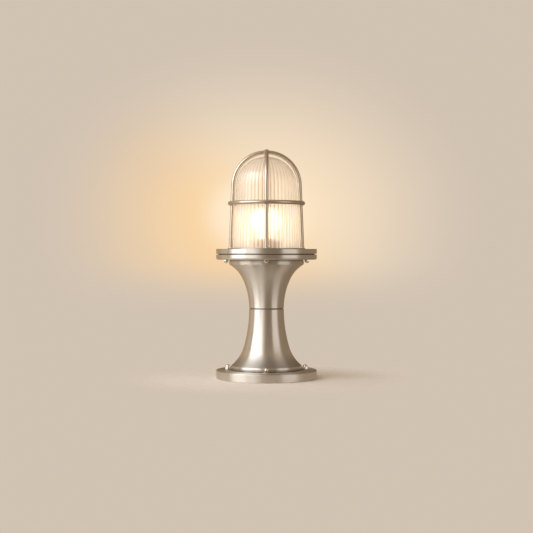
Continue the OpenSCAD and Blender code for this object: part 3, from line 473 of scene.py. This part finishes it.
@dataclass(frozen=True)
class LitGlass(ClearGlass):
    """Clear glass round a lit lamp.

    Between its ridges it gives off a painted glow, most of it at the lamp's height. The ridges are painted
    darker, as lines of painted shade, and its crown is glossier than its wall.
    """

    lamp_z: float = 0.0
    reach: float = 0.05
    core: float = 0.2
    flutes: int = 48
    # Painted glow: the glass gives off this much light of its own, in place of lamp light scattered in it.
    glow: float = 0.22
    dome_share: float = 0.38
    # Painted shade: the darker colour painted on the ridges.
    ridge_shade: Colour = (0.76, 0.65, 0.49)
    # faint and warm: the dim and bright colours of the painted glow.
    faint: Colour = (0.06, 0.04, 0.026)
    warm: Colour = (1.0, 0.85, 0.68)
    crown_slope: Span = (0.1, 0.45)
    wall_gloss: float = 0.2
    crown_gloss: float = 0.9
    skin_roughness: float = 0.24
    skin_bend: float = 2.1

    def sockets(self, tree: Tree) -> dict[str, Value]:
        """Clear glass with a painted glow between its ridges, painted shade on the ridges, and a glossy outer
        skin.

        Args:
            tree: the material's node tree.

        Returns:
            A value or a wire for each socket.
        """
        x, y, z = tree.split(tree.coordinates("Object"))
        near = (z - self.lamp_z).math("ABSOLUTE").smooth(self.reach, self.reach * self.core)
        ridge = (y.math("ARCTAN2", x) * self.flutes).math("COSINE") * 0.5 + 0.5
        open_glass = 1.0 - ridge * ridge * ridge
        share = open_glass * (near * (1.0 - self.dome_share) + self.dome_share)
        _, _, up = tree.split(tree.coordinates("Normal"))
        crown = up.smooth(*self.crown_slope)
        lit = {
            "Coat Weight": crown * (self.crown_gloss - self.wall_gloss) + self.wall_gloss,
            "Coat Roughness": self.skin_roughness,
            "Coat IOR": self.skin_bend,
            # Painted glow on the glass, brightest between the ridges and at the lamp's height.
            "Emission Color": tree.mix(share, rgba(self.faint), rgba(self.warm)),
            "Emission Strength": self.glow,
            # Painted shade: the ridges take the darker colour.
            "Base Color": tree.mix(open_glass, rgba(self.ridge_shade), rgba(self.colour)),
        }
        return {**super().sockets(tree), **lit}


@dataclass(frozen=True)
class LitOpal(Finish):
    """Opal bulb glass, lit from inside: brightest round its middle and dimmer towards its neck."""

    glow: float = 0.95
    neck_z: float = 0.0
    middle_z: float = 1.0
    bright_from: float = 0.6
    mottle_scale: float = 120.0
    dim: Colour = (0.22, 0.135, 0.055)
    bright: Colour = (1.0, 0.91, 0.88)

    def sockets(self, tree: Tree) -> dict[str, Value]:
        """White glass that gives off warm light.

        Args:
            tree: the material's node tree.

        Returns:
            A value or a wire for each socket.
        """
        point = tree.coordinates("Object")
        _, _, z = tree.split(point)
        mottle = tree.noise(point, self.mottle_scale)
        limb = tree.wire("ShaderNodeLayerWeight", {}, {"Blend": 0.5}, "Facing")
        bright_z = self.neck_z * (1.0 - self.bright_from) + self.middle_z * self.bright_from
        share = z.smooth(self.neck_z, bright_z) * limb.smooth(1.0, 0.35) * 0.9 + mottle * 0.1
        return {
            "Base Color": self.shade(tree, mottle, 0.95),
            "Roughness": mottle * 0.1 + (self.roughness - 0.05),
            "Emission Color": tree.mix(share, rgba(self.dim), rgba(self.bright)),
            "Emission Strength": self.glow,
        }


@dataclass(frozen=True)
class Phosphor(Finish):
    """Filament coated with phosphor, lit: beads of light along a strip."""

    glow: float = 6.0
    bead_scale: float = 700.0
    amber: Colour = (0.9, 0.55, 0.2)
    bright: Colour = (1.0, 0.82, 0.5)

    def sockets(self, tree: Tree) -> dict[str, Value]:
        """Warm light in close beads.

        Args:
            tree: the material's node tree.

        Returns:
            A value or a wire for each socket.
        """
        point = tree.coordinates("Object")
        beads = tree.noise(point, self.bead_scale, 1.0)
        return {
            "Base Color": self.shade(tree, beads, 0.8),
            "Roughness": beads * 0.1 + self.roughness,
            "Emission Color": tree.mix(beads, rgba(self.amber), rgba(self.bright)),
            "Emission Strength": self.glow,
        }


# Meshes

Point = tuple[float, float, float]
Face = Sequence[int]


def mesh_piece(name: str, points: Sequence[Point], faces: Sequence[Face],
               crease: float = 35.0) -> bpy.types.Object:
    """Makes a smooth mesh piece whose edges stay sharp past an angle.

    Args:
        name: the piece's name.
        points: its points, in metres.
        faces: its faces, as point numbers.
        crease: the angle in degrees past which an edge stays sharp.

    Returns:
        The piece, linked into the scene.
    """
    mesh = bpy.data.meshes.new(name)
    mesh.from_pydata(points, [], faces)
    mesh.validate()
    mesh.shade_smooth()
    mesh.set_sharp_from_angle(angle=math.radians(crease))
    piece = bpy.data.objects.new(name, mesh)
    bpy.context.scene.collection.objects.link(piece)
    return piece


def revolved(rows: int, turns: int, place: Callable[[int, float], Point],
             closed: bool) -> tuple[list[Point], list[Face]]:
    """A grid of points round the upright axis, as points and faces.

    Args:
        rows: how many rings of points there are.
        turns: how many points a ring has.
        place: gives a point from its row and its angle in radians.
        closed: joins the last row to the first.

    Returns:
        The points and the faces.
    """
    points = [place(row, 2 * math.pi * turn / turns) for row in range(rows) for turn in range(turns)]
    faces = []
    for row in range(rows if closed else rows - 1):
        above = (row + 1) % rows
        for turn in range(turns):
            after = (turn + 1) % turns
            low = [row * turns + turn, row * turns + after]
            faces.append(low + [above * turns + after, above * turns + turn])
    return points, faces


def polar(radius: float, angle: float, z: float) -> Point:
    """A point from its radius, angle and height."""
    return (radius * math.cos(angle), radius * math.sin(angle), z)


def own(piece: bpy.types.Object, body: Body, slot: str, finish: bpy.types.Material, *nodes: str) -> None:
    """Hands a new piece to its body and its finish, and hides the CAD nodes that it stands for.

    Args:
        piece: the new piece.
        body: the body that it rides on.
        slot: not used.
        finish: its material.
        nodes: the CAD nodes that it stands for.
    """
    piece.data.materials.append(finish)
    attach(piece, body.value)
    if nodes:
        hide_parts(*nodes)
    LOG.info("piece %s on %s", piece.name, body.value)


def dress(finish: bpy.types.Material, *nodes: str) -> None:
    """Gives CAD nodes a finish.

    Args:
        finish: the material.
        nodes: the nodes' names.
    """
    for name in nodes:
        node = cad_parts[name]
        node.data.materials.clear()
        node.data.materials.append(finish)
        LOG.info("node %s in %s", name, finish.name)


# Sub-assemblies


@dataclass
class Metalwork:
    """Base, column, gallery and guard: the CAD nodes that show as satin nickel, and their hidden fixings."""

    nickel: Colour = (0.80, 0.755, 0.695)
    # Painted shade: the base disc's nickel is a darker copy of the column's nickel.
    shaded_base_nickel: Colour = (0.77, 0.725, 0.665)
    screw_nickel: Colour = (0.86, 0.79, 0.71)
    zinc: Colour = (0.62, 0.62, 0.61)
    black: Colour = (0.13, 0.107, 0.085)

    def build(self) -> None:
        """Dresses the metal nodes."""
        turned = TurnedMetal("turned_nickel", self.nickel, roughness=0.34).material()
        # The base disc takes the darker, painted-shade copy of the nickel.
        broad = TurnedMetal("turned_base_nickel", self.shaded_base_nickel, roughness=0.36,
                            cross_grain=0.91).material()
        drawn = DrawnMetal("drawn_nickel", self.screw_nickel, roughness=0.13).material()
        steel = PlatedSteel("plated_steel", self.zinc, roughness=0.42).material()
        rubber = Moulded("black_rubber", self.black, roughness=0.62).material()
        dress(turned, "lower_column", "upper_column", "gallery_plate", "guard_ring")
        dress(broad, "base_disc")
        dress(drawn, "dome_nuts", "flange_screws")
        dress(steel, "ground_plate", "ground_studs", "dome_nut_washers", "foot_screws", "block_screws",
              "stem_washers", "rim_screws", "holder_screws", "keep_ring", "keep_screws")
        dress(rubber, "base_seal", "gland_seal", "waist_seal", "rim_seal", "flange_seal", "globe_seal")


@dataclass
class Guard:
    """The rod guard, with a bead of braze where the hoop crosses each leg and where the arches meet."""

    # Painted shade: the rods' nickel is a darker copy of the column's, in place of the shade on them.
    nickel: Colour = (0.70, 0.615, 0.51)
    rod_d: float = 6.6 * MM
    hoop_lap: float = 2.4 * MM
    swell: float = 0.8 * MM
    sunk: float = 0.15 * MM
    half_length: float = 5.5 * MM
    rows: int = 16
    points_per_ring: int = 32

    def bead(self, name: str, centre: Vector, along: Vector) -> bpy.types.Object:
        """A collar of braze that swells round a rod and thins out into it at both ends.

        Args:
            name: the piece's name.
            centre: a point on the rod's axis.
            along: the rod's direction.

        Returns:
            The bead.
        """
        turn = along.to_track_quat("Z", "Y")

        def place(row: int, angle: float) -> Point:
            """A point of the collar.

            Args:
                row: the ring, from one end to the other.
                angle: the angle round the rod.

            Returns:
                The point.
            """
            share = 2.0 * row / self.rows - 1.0
            radius = self.rod_d / 2 - self.sunk + (self.swell + self.sunk) * (1.0 - share ** 2) ** 2
            return tuple(centre + turn @ Vector(polar(radius, angle, share * self.half_length)))

        points, faces = revolved(self.rows + 1, self.points_per_ring, place, closed=False)
        last = self.rows * self.points_per_ring
        faces.append(list(reversed(range(self.points_per_ring))))
        faces.append([last + point for point in range(self.points_per_ring)])
        return mesh_piece(name, points, faces)

    def build(self) -> None:
        """Dresses the rods and adds the beads."""
        rods = DrawnMetal("shaded_rod_nickel", self.nickel, roughness=0.31).material()
        dress(rods, "guard_front_arch", "guard_side_arches", "guard_hoop")
        hoop_low, hoop_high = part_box("guard_hoop")
        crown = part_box("guard_front_arch")[1]
        leg_r = hoop_high.x - self.rod_d - self.rod_d / 2 + self.hoop_lap
        hoop_z = (hoop_low.z + hoop_high.z) / 2
        up = Vector((0.0, 0.0, 1.0))
        for side, angle in (("right", 0.0), ("back", 90.0), ("left", 180.0), ("front", 270.0)):
            centre = Vector(polar(leg_r, math.radians(angle), hoop_z))
            own(self.bead(f"braze_{side}", centre, up), Body.GUARD, "guard_nickel", rods)
        apex = Vector((0.0, 0.0, crown.z - self.rod_d / 2))
        own(self.bead("braze_crown", apex, Vector((0.0, 1.0, 0.0))), Body.GUARD, "guard_nickel", rods)


@dataclass
class Globe:
    """The fluted glass globe: flutes run up inside its wall and over the dome, and die out at the crown."""

    wall_r: float = 52.0 * MM
    spring_r: float = 48.0 * MM
    lip_t: float = 3.0 * MM
    wall: float = 3.5 * MM
    shoulder_arc: float = 47.0 * MM
    crown_arc: float = 49.0 * MM
    flutes: int = 48
    flute_depth: float = 0.9 * MM
    points_per_flute: int = 10
    tint: Colour = (0.985, 0.955, 0.91)
    glow_drop: float = 8.0 * MM
    wall_rows: int = 8
    arc_rows: int = 14

    def outline(self, inset: float, foot_r: float, foot_z: float) -> list[tuple[float, float, float]]:
        """The half section of the wall and the dome, from the foot up to the axis.

        Args:
            inset: how far it lies inside the outer face.
            foot_r: the radius at its foot.
            foot_z: the height of its foot.

        Returns:
            Radius, height and the slope of the outward normal, in radians from level, for each row.
        """
        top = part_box("globe_apex")[1].z
        crown_z = top - self.crown_arc
        centre_r = self.spring_r - self.shoulder_arc
        shoulder_z = crown_z + math.sqrt((self.crown_arc - self.shoulder_arc) ** 2 - centre_r ** 2)
        meet = math.atan2(shoulder_z - crown_z, centre_r)
        rows = []
        for row in range(self.wall_rows):
            share = row / self.wall_rows
            radius = foot_r + (self.spring_r - inset - foot_r) * share
            rows.append((radius, foot_z + (shoulder_z - foot_z) * share, 0.0))
        for row in range(self.arc_rows):
            slope = meet * row / self.arc_rows
            arc = self.shoulder_arc - inset
            rows.append((centre_r + arc * math.cos(slope), shoulder_z + arc * math.sin(slope), slope))
        for row in range(self.arc_rows):
            slope = meet + (math.pi / 2 - meet) * row / self.arc_rows
            arc = self.crown_arc - inset
            rows.append((arc * math.cos(slope), crown_z + arc * math.sin(slope), slope))
        return rows

    def fluted(self, row: tuple[float, float, float], angle: float) -> Point:
        """A point of the fluted inner face.

        Args:
            row: the plain face's radius, height and slope.
            angle: the angle round the axis.

        Returns:
            The point, sunk by the flute's depth there.
        """
        radius, z, slope = row
        along = (angle * self.flutes / (2 * math.pi)) % 1.0
        scallop = 1.0 - (2.0 * along - 1.0) ** 2
        depth = self.flute_depth * scallop * min(1.0, radius / self.spring_r) ** 1.5
        return polar(radius + depth * math.cos(slope), angle, z + depth * math.sin(slope))

    def build(self) -> None:
        """Builds the globe and gives it its glass."""
        low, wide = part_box("globe_wall")
        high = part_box("globe_apex")[1]
        lip_r = wide.x
        lip_z = low.z + self.lip_t
        outer = [(lip_r, low.z, 0.0), (lip_r, lip_z, 0.0)] + self.outline(0.0, self.wall_r, lip_z)
        inner = self.outline(self.wall, self.spring_r - self.wall, low.z)
        count = len(outer)
        turns = self.flutes * self.points_per_flute

        def place(row: int, angle: float) -> Point:
            """A point of the outer face, or of the inner one past the last outer row.

            Args:
                row: the ring, up the outer face and down the inner one.
                angle: the angle round the axis.

            Returns:
                The point.
            """
            if row < count:
                return polar(outer[row][0], angle, outer[row][1])
            return self.fluted(inner[len(inner) - 1 - (row - count)], angle)

        rows = count + len(inner)
        points, faces = revolved(rows, turns, place, closed=True)
        crown = count - 1
        faces = [face for face in faces if face[0] // turns != crown]
        tops = [(0.0, 0.0, high.z), (0.0, 0.0, high.z - self.wall)]
        outer_top, inner_top = len(points), len(points) + 1
        points = points + tops
        for turn in range(turns):
            after = (turn + 1) % turns
            faces.append([crown * turns + turn, crown * turns + after, outer_top])
            faces.append([count * turns + after, count * turns + turn, inner_top])
        piece = mesh_piece("fluted_globe", points, faces)
        piece.visible_shadow = False
        bulb_low, bulb_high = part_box("lamp_bulb")
        lamp_z = bulb_high.z - (bulb_high.x - bulb_low.x) / 2 - self.glow_drop
        glass = LitGlass("pressed_glass", self.tint, roughness=0.30, bend=1.25, clarity=0.92, lamp_z=lamp_z,
                         flutes=self.flutes)
        own(piece, Body.GUARD, "globe_glass", glass.material(), "globe_wall", "globe_shoulder", "globe_apex")


@dataclass
class Lamp:
    """The screw-cap lamp: a lit opal bulb on a cap with a rolled thread."""

    pitch: float = 3.629 * MM
    thread_depth: float = 0.9 * MM
    sheet: float = 0.5 * MM
    plain_ends: float = 2.0 * MM
    plain_share: float = 0.3
    points_per_turn: int = 96
    rows_per_pitch: int = 12
    bore_share: float = 0.27
    aluminium: Colour = (0.74, 0.73, 0.71)
    yellow_brass: Colour = (0.80, 0.60, 0.27)
    opal: Colour = (0.95, 0.93, 0.88)
    clear: Colour = (0.95, 0.95, 0.93)
    phosphor: Colour = (0.95, 0.72, 0.25)
    black: Colour = (0.015, 0.014, 0.016)

    def depth_at(self, angle: float, z: float, low: float, high: float) -> float:
        """How deep the thread is at a place; it dies out towards both ends.

        Args:
            angle: the angle round the axis.
            z: the height.
            low: the height of the tube's lower end.
            high: the height of its upper end.

        Returns:
            The depth, in metres.
        """
        phase = 2 * math.pi * z / self.pitch - angle
        fade = min(1.0, max(0.0, min(z - low, high - z) / self.plain_ends - self.plain_share))
        return self.thread_depth * fade * (0.5 - 0.5 * math.cos(phase))

    def threaded(self, name: str, low: float, high: float, outer: float, inner: float,
                 roll: bool) -> bpy.types.Object:
        """A tube with a thread.

        Args:
            name: the piece's name.
            low: the height of its lower end.
            high: the height of its upper end.
            outer: its outer radius.
            inner: its bore.
            roll: the thread shows on both faces, as in rolled sheet, and not only in the bore.

        Returns:
            The tube.
        """
        steps = max(2, round((high - low) / self.pitch * self.rows_per_pitch))
        heights = [low + (high - low) * step / steps for step in range(steps + 1)]
        count = len(heights)

        def place(row: int, angle: float) -> Point:
            """A point of the outer face going up, or of the bore coming down.

            Args:
                row: the ring.
                angle: the angle round the axis.

            Returns:
                The point.
            """
            z = heights[row] if row < count else heights[2 * count - 1 - row]
            depth = self.depth_at(angle, z, low, high)
            if row < count:
                return polar(outer - depth if roll else outer, angle, z)
            return polar(inner - depth, angle, z)

        points, faces = revolved(2 * count, self.points_per_turn, place, closed=True)
        return mesh_piece(name, points, faces)

    def build(self) -> None:
        """Builds the threaded cap and shell, and dresses the lamp."""
        cap_low, cap_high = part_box("lamp_cap")
        shell_low, shell_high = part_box("holder_shell")
        bulb_low, bulb_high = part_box("lamp_bulb")
        cap_metal = DrawnMetal("rolled_cap", self.aluminium, roughness=0.30).material()
        brass = TurnedMetal("turned_brass", self.yellow_brass, roughness=0.32).material()
        cap = self.threaded("threaded_cap", cap_low.z, cap_high.z, cap_high.x, cap_high.x - self.sheet,
                            roll=True)
        own(cap, Body.LAMP, "cap_metal", cap_metal, "lamp_cap")
        shell_bore = cap_high.x + (shell_high.y - cap_high.x) * self.bore_share
        shell = self.threaded("threaded_shell", shell_low.z, shell_high.z, shell_high.y, shell_bore,
                              roll=False)
        own(shell, Body.COLUMN, "brass", brass, "holder_shell")
        middle = bulb_high.z - (bulb_high.x - bulb_low.x) / 2
        bulb = LitOpal("lit_opal", self.opal, roughness=0.35, neck_z=bulb_low.z, middle_z=middle).material()
        stem = ClearGlass("mount_glass", self.clear, roughness=0.05).material()
        strip = Phosphor("lit_phosphor", self.phosphor, roughness=0.5).material()
        insulator = Moulded("black_glass", self.black, roughness=0.25, gloss=0.6).material()
        dress(bulb, "lamp_bulb")
        dress(stem, "lamp_stem")
        dress(strip, "lamp_filaments")
        dress(insulator, "lamp_insulator")
        dress(cap_metal, "lamp_tip")
        dress(brass, "holder_bush", "holder_contact", "holder_terminals", "stem_tube", "stem_nuts",
              "gland_body", "gland_cap", "terminal_screws", "earth_screw")


@dataclass
class Wiring:
    """Lampholder ceramics, terminal block and leads."""

    glaze: Colour = (0.46, 0.31, 0.175)
    brown: Colour = (0.12, 0.055, 0.022)
    blue: Colour = (0.03, 0.12, 0.36)
    green: Colour = (0.10, 0.24, 0.03)

    def build(self) -> None:
        """Dresses the ceramic and the leads."""
        ceramic = Moulded("tan_glaze", self.glaze, roughness=0.30, grain_scale=300.0, gloss=0.5).material()
        dress(ceramic, "holder_base", "holder_skirt", "terminal_block")
        leads = (("brown_cover", self.brown, "lead_live"), ("blue_cover", self.blue, "lead_neutral"),
                 ("green_cover", self.green, "lead_earth"))
        for name, colour, lead in leads:
            dress(Moulded(name, colour, roughness=0.42).material(), lead)


@dataclass
class Softbox:
    """A soft area lamp aimed at a point on the lantern: azimuth 0 is the camera's side, and 90 its right."""

    name: str
    azimuth: float
    elevation: float
    distance: float
    width: float
    height: float
    watts: float
    roll: float = 0.0
    colour: Colour = (0.955, 0.975, 1.0)

    def build(self, target: Vector) -> None:
        """Hangs the lamp; a roll leans its top to the right.

        Args:
            target: the point that it is aimed at.
        """
        data = bpy.data.lights.new(self.name, "AREA")
        data.shape = "RECTANGLE"
        data.size = self.width
        data.size_y = self.height
        data.energy = self.watts
        data.color = self.colour
        lamp = bpy.data.objects.new(self.name, data)
        a, e = math.radians(self.azimuth), math.radians(self.elevation)
        out = Vector((math.sin(a) * math.cos(e), -math.cos(a) * math.cos(e), math.sin(e)))
        lamp.location = target + out * self.distance
        lamp.rotation_mode = "QUATERNION"
        lean = Quaternion((0.0, 0.0, 1.0), math.radians(-self.roll))
        lamp.rotation_quaternion = (-out).to_track_quat("-Z", "Y") @ lean
        bpy.context.scene.collection.objects.link(lamp)


@dataclass
class Studio:
    """Pale floor, warm room, soft lamps, and the camera at the photograph's angle."""

    eye_distance: float = 1.92
    eye_height: float = 0.198
    pitch_down: float = 0.60
    lens: float = 81.5
    aim_height: float = 0.17
    floor_r: float = 0.25
    floor_fade: float = 0.14
    floor_rim: float = 0.01
    floor_grain: float = 60.0
    floor_tone: float = 0.97
    rings: int = 12
    spokes: int = 96
    paper: Colour = (0.95, 0.90, 0.84)
    backdrop: Colour = (0.64, 0.545, 0.45)
    room: Colour = (0.42, 0.325, 0.235)
    dusk: Colour = (0.19, 0.134, 0.085)
    dawn: Colour = (0.86, 0.79, 0.70)
    left: Colour = (0.66, 0.54, 0.415)
    right: Colour = (0.32, 0.24, 0.165)
    mild: Colour = (0.38, 0.305, 0.225)
    below: Colour = (0.27, 0.21, 0.15)
    below_key: Colour = (0.66, 0.57, 0.475)
    back: Colour = (0.50, 0.37, 0.235)
    far: Colour = (0.30, 0.215, 0.14)
    glow: Colour = (1.02, 0.70, 0.365)
    haze: Colour = (1.0, 0.80, 0.56)
    core: Colour = (1.04, 0.84, 0.60)
    glow_at: Span = (-0.006, 0.032)
    glow_reach: Span = (0.19, 0.15)
    dawn_edges: tuple[Span, Span] = ((-44.0, -34.0), (-22.0, -8.0))
    left_edges: tuple[Span, Span] = ((-142.0, -122.0), (-104.0, -92.0))
    right_edges: tuple[Span, Span] = ((78.0, 92.0), (140.0, 160.0))
    dusk_edges: tuple[Span, Span] = ((-14.0, 2.0), (26.0, 42.0))
    mild_rise: Span = (0.12, 0.42)
    key_side: Span = (0.1, -0.7)
    below_fall: Span = (-0.15, -0.75)
    far_side: Span = (0.0, 0.2)
    back_face: Span = (0.35, 0.95)
    haze_lean: Span = (-0.03, 0.09)
    core_reach: Span = (0.30, 0.14)
    halo_foot: Span = (-0.05, -0.001)
    halo_side: Span = (0.0, 0.1)
    softboxes: tuple[Softbox, ...] = (
        Softbox("key", azimuth=-66.0, elevation=14.0, distance=1.5, width=1.12, height=1.9, watts=7.7,
                roll=8.0),
        Softbox("high_key", azimuth=-57.0, elevation=31.0, distance=1.6, width=1.7, height=1.2, watts=12.0),
        Softbox("fill", azimuth=55.0, elevation=5.0, distance=1.6, width=1.1, height=1.3, watts=3.2),
    )

    def camera(self) -> None:
        """Makes the camera."""
        data = bpy.data.cameras.new("camera")
        data.lens = self.lens
        eye = bpy.data.objects.new("camera", data)
        eye.location = (0.0, -self.eye_distance, self.eye_height)
        eye.rotation_euler = (math.radians(90.0 - self.pitch_down), 0.0, 0.0)
        bpy.context.scene.collection.objects.link(eye)
        bpy.context.scene.camera = eye

    def floor(self) -> None:
        """Lays a pale round floor that fades out at its edge."""
        def place(row: int, angle: float) -> Point:
            """A point of the floor, from its middle outwards."""
            return polar(self.floor_r * (row + 0.02) / self.rings, angle, 0.0)

        points, faces = revolved(self.rings + 1, self.spokes, place, closed=False)
        floor = mesh_piece("floor", points, faces)
        made = bpy.data.materials.new("floor_paper")
        tree = Tree(made)
        point = tree.coordinates("Object")
        x, y, _ = tree.split(point)
        edge = (x * x + y * y).root().smooth(self.floor_r - self.floor_fade, self.floor_r - self.floor_rim)
        grain = tree.noise(point, self.floor_grain, 3.0)
        darker = rgba(tuple(part * self.floor_tone for part in self.paper))
        paper = tree.mix(grain, darker, rgba(self.paper))
        shader = tree.wire("ShaderNodeBsdfPrincipled", {}, {"Base Color": paper, "Roughness": 0.8})
        clear = tree.wire("ShaderNodeBsdfTransparent", {}, {})
        mixed = tree.wire("ShaderNodeMixShader", {}, {0: edge, 1: shader, 2: clear})
        tree.node("ShaderNodeOutputMaterial", {}, {"Surface": mixed})
        floor.data.materials.append(made)

    def room_light(self) -> None:
        """Lights the room by direction.

        The metal mirrors a beige room, pale on the left and dark behind the camera. The camera, also through
        the glass, sees only a plain backdrop with the lamp's glow on it.
        """
        world = bpy.data.worlds.new("room")
        bpy.context.scene.world = world
        tree = Tree(world)
        x, y, z = tree.split(tree.coordinates("Generated"))
        side = x.math("ARCTAN2", 0.0 - y) * (180.0 / math.pi)
        room = tree.mix(side.window(*self.dawn_edges), rgba(self.room), rgba(self.dawn))
        room = tree.mix(side.window(*self.left_edges), room, rgba(self.left))
        room = tree.mix(side.window(*self.right_edges), room, rgba(self.right))
        dusk = tree.mix(z.smooth(*self.mild_rise), rgba(self.dusk), rgba(self.mild))
        room = tree.mix(side.window(*self.dusk_edges), room, dusk)
        below = tree.mix(x.smooth(*self.key_side), rgba(self.below), rgba(self.below_key))
        room = tree.mix(z.smooth(*self.below_fall), room, below)
        back = tree.mix(x.smooth(*self.far_side), rgba(self.back), rgba(self.far))
        room = tree.mix(y.smooth(*self.back_face), room, back)
        wide = (x - self.glow_at[0]) / self.glow_reach[0]
        high = (z - self.glow_at[1]) / self.glow_reach[1]
        reach = (wide * wide + high * high).root()
        halo = reach.smooth(1.0, 0.0) * z.smooth(*self.halo_foot) * y.smooth(*self.halo_side)
        glow = tree.mix((x + z).smooth(*self.haze_lean), rgba(self.glow), rgba(self.haze))
        glow = tree.mix(reach.smooth(*self.core_reach), glow, rgba(self.core))
        backdrop = tree.mix(halo, rgba(self.backdrop), glow)
        rays = tree.node("ShaderNodeLightPath", {}, {}).outputs
        seen = Wire(tree, rays["Is Camera Ray"]).math("MAXIMUM", Wire(tree, rays["Is Transmission Ray"]))
        colour = tree.mix(seen, room, backdrop)
        sky = tree.wire("ShaderNodeBackground", {}, {"Color": colour, "Strength": 1.0})
        tree.node("ShaderNodeOutputWorld", {}, {"Surface": sky})

    def build(self) -> None:
        """Builds the studio."""
        scene = bpy.context.scene
        scene.view_settings.view_transform = "Standard"
        self.camera()
        self.floor()
        self.room_light()
        for softbox in self.softboxes:
            softbox.build(Vector((0.0, 0.0, self.aim_height)))


def main() -> None:
    """Builds the studio and the lantern's pieces."""
    logging.basicConfig(level=logging.INFO, format="%(name)s: %(message)s")
    for part in (Studio(), Metalwork(), Guard(), Globe(), Lamp(), Wiring()):
        LOG.info("building %s", type(part).__name__)
        part.build()


if __name__ == "__main__":
    main()
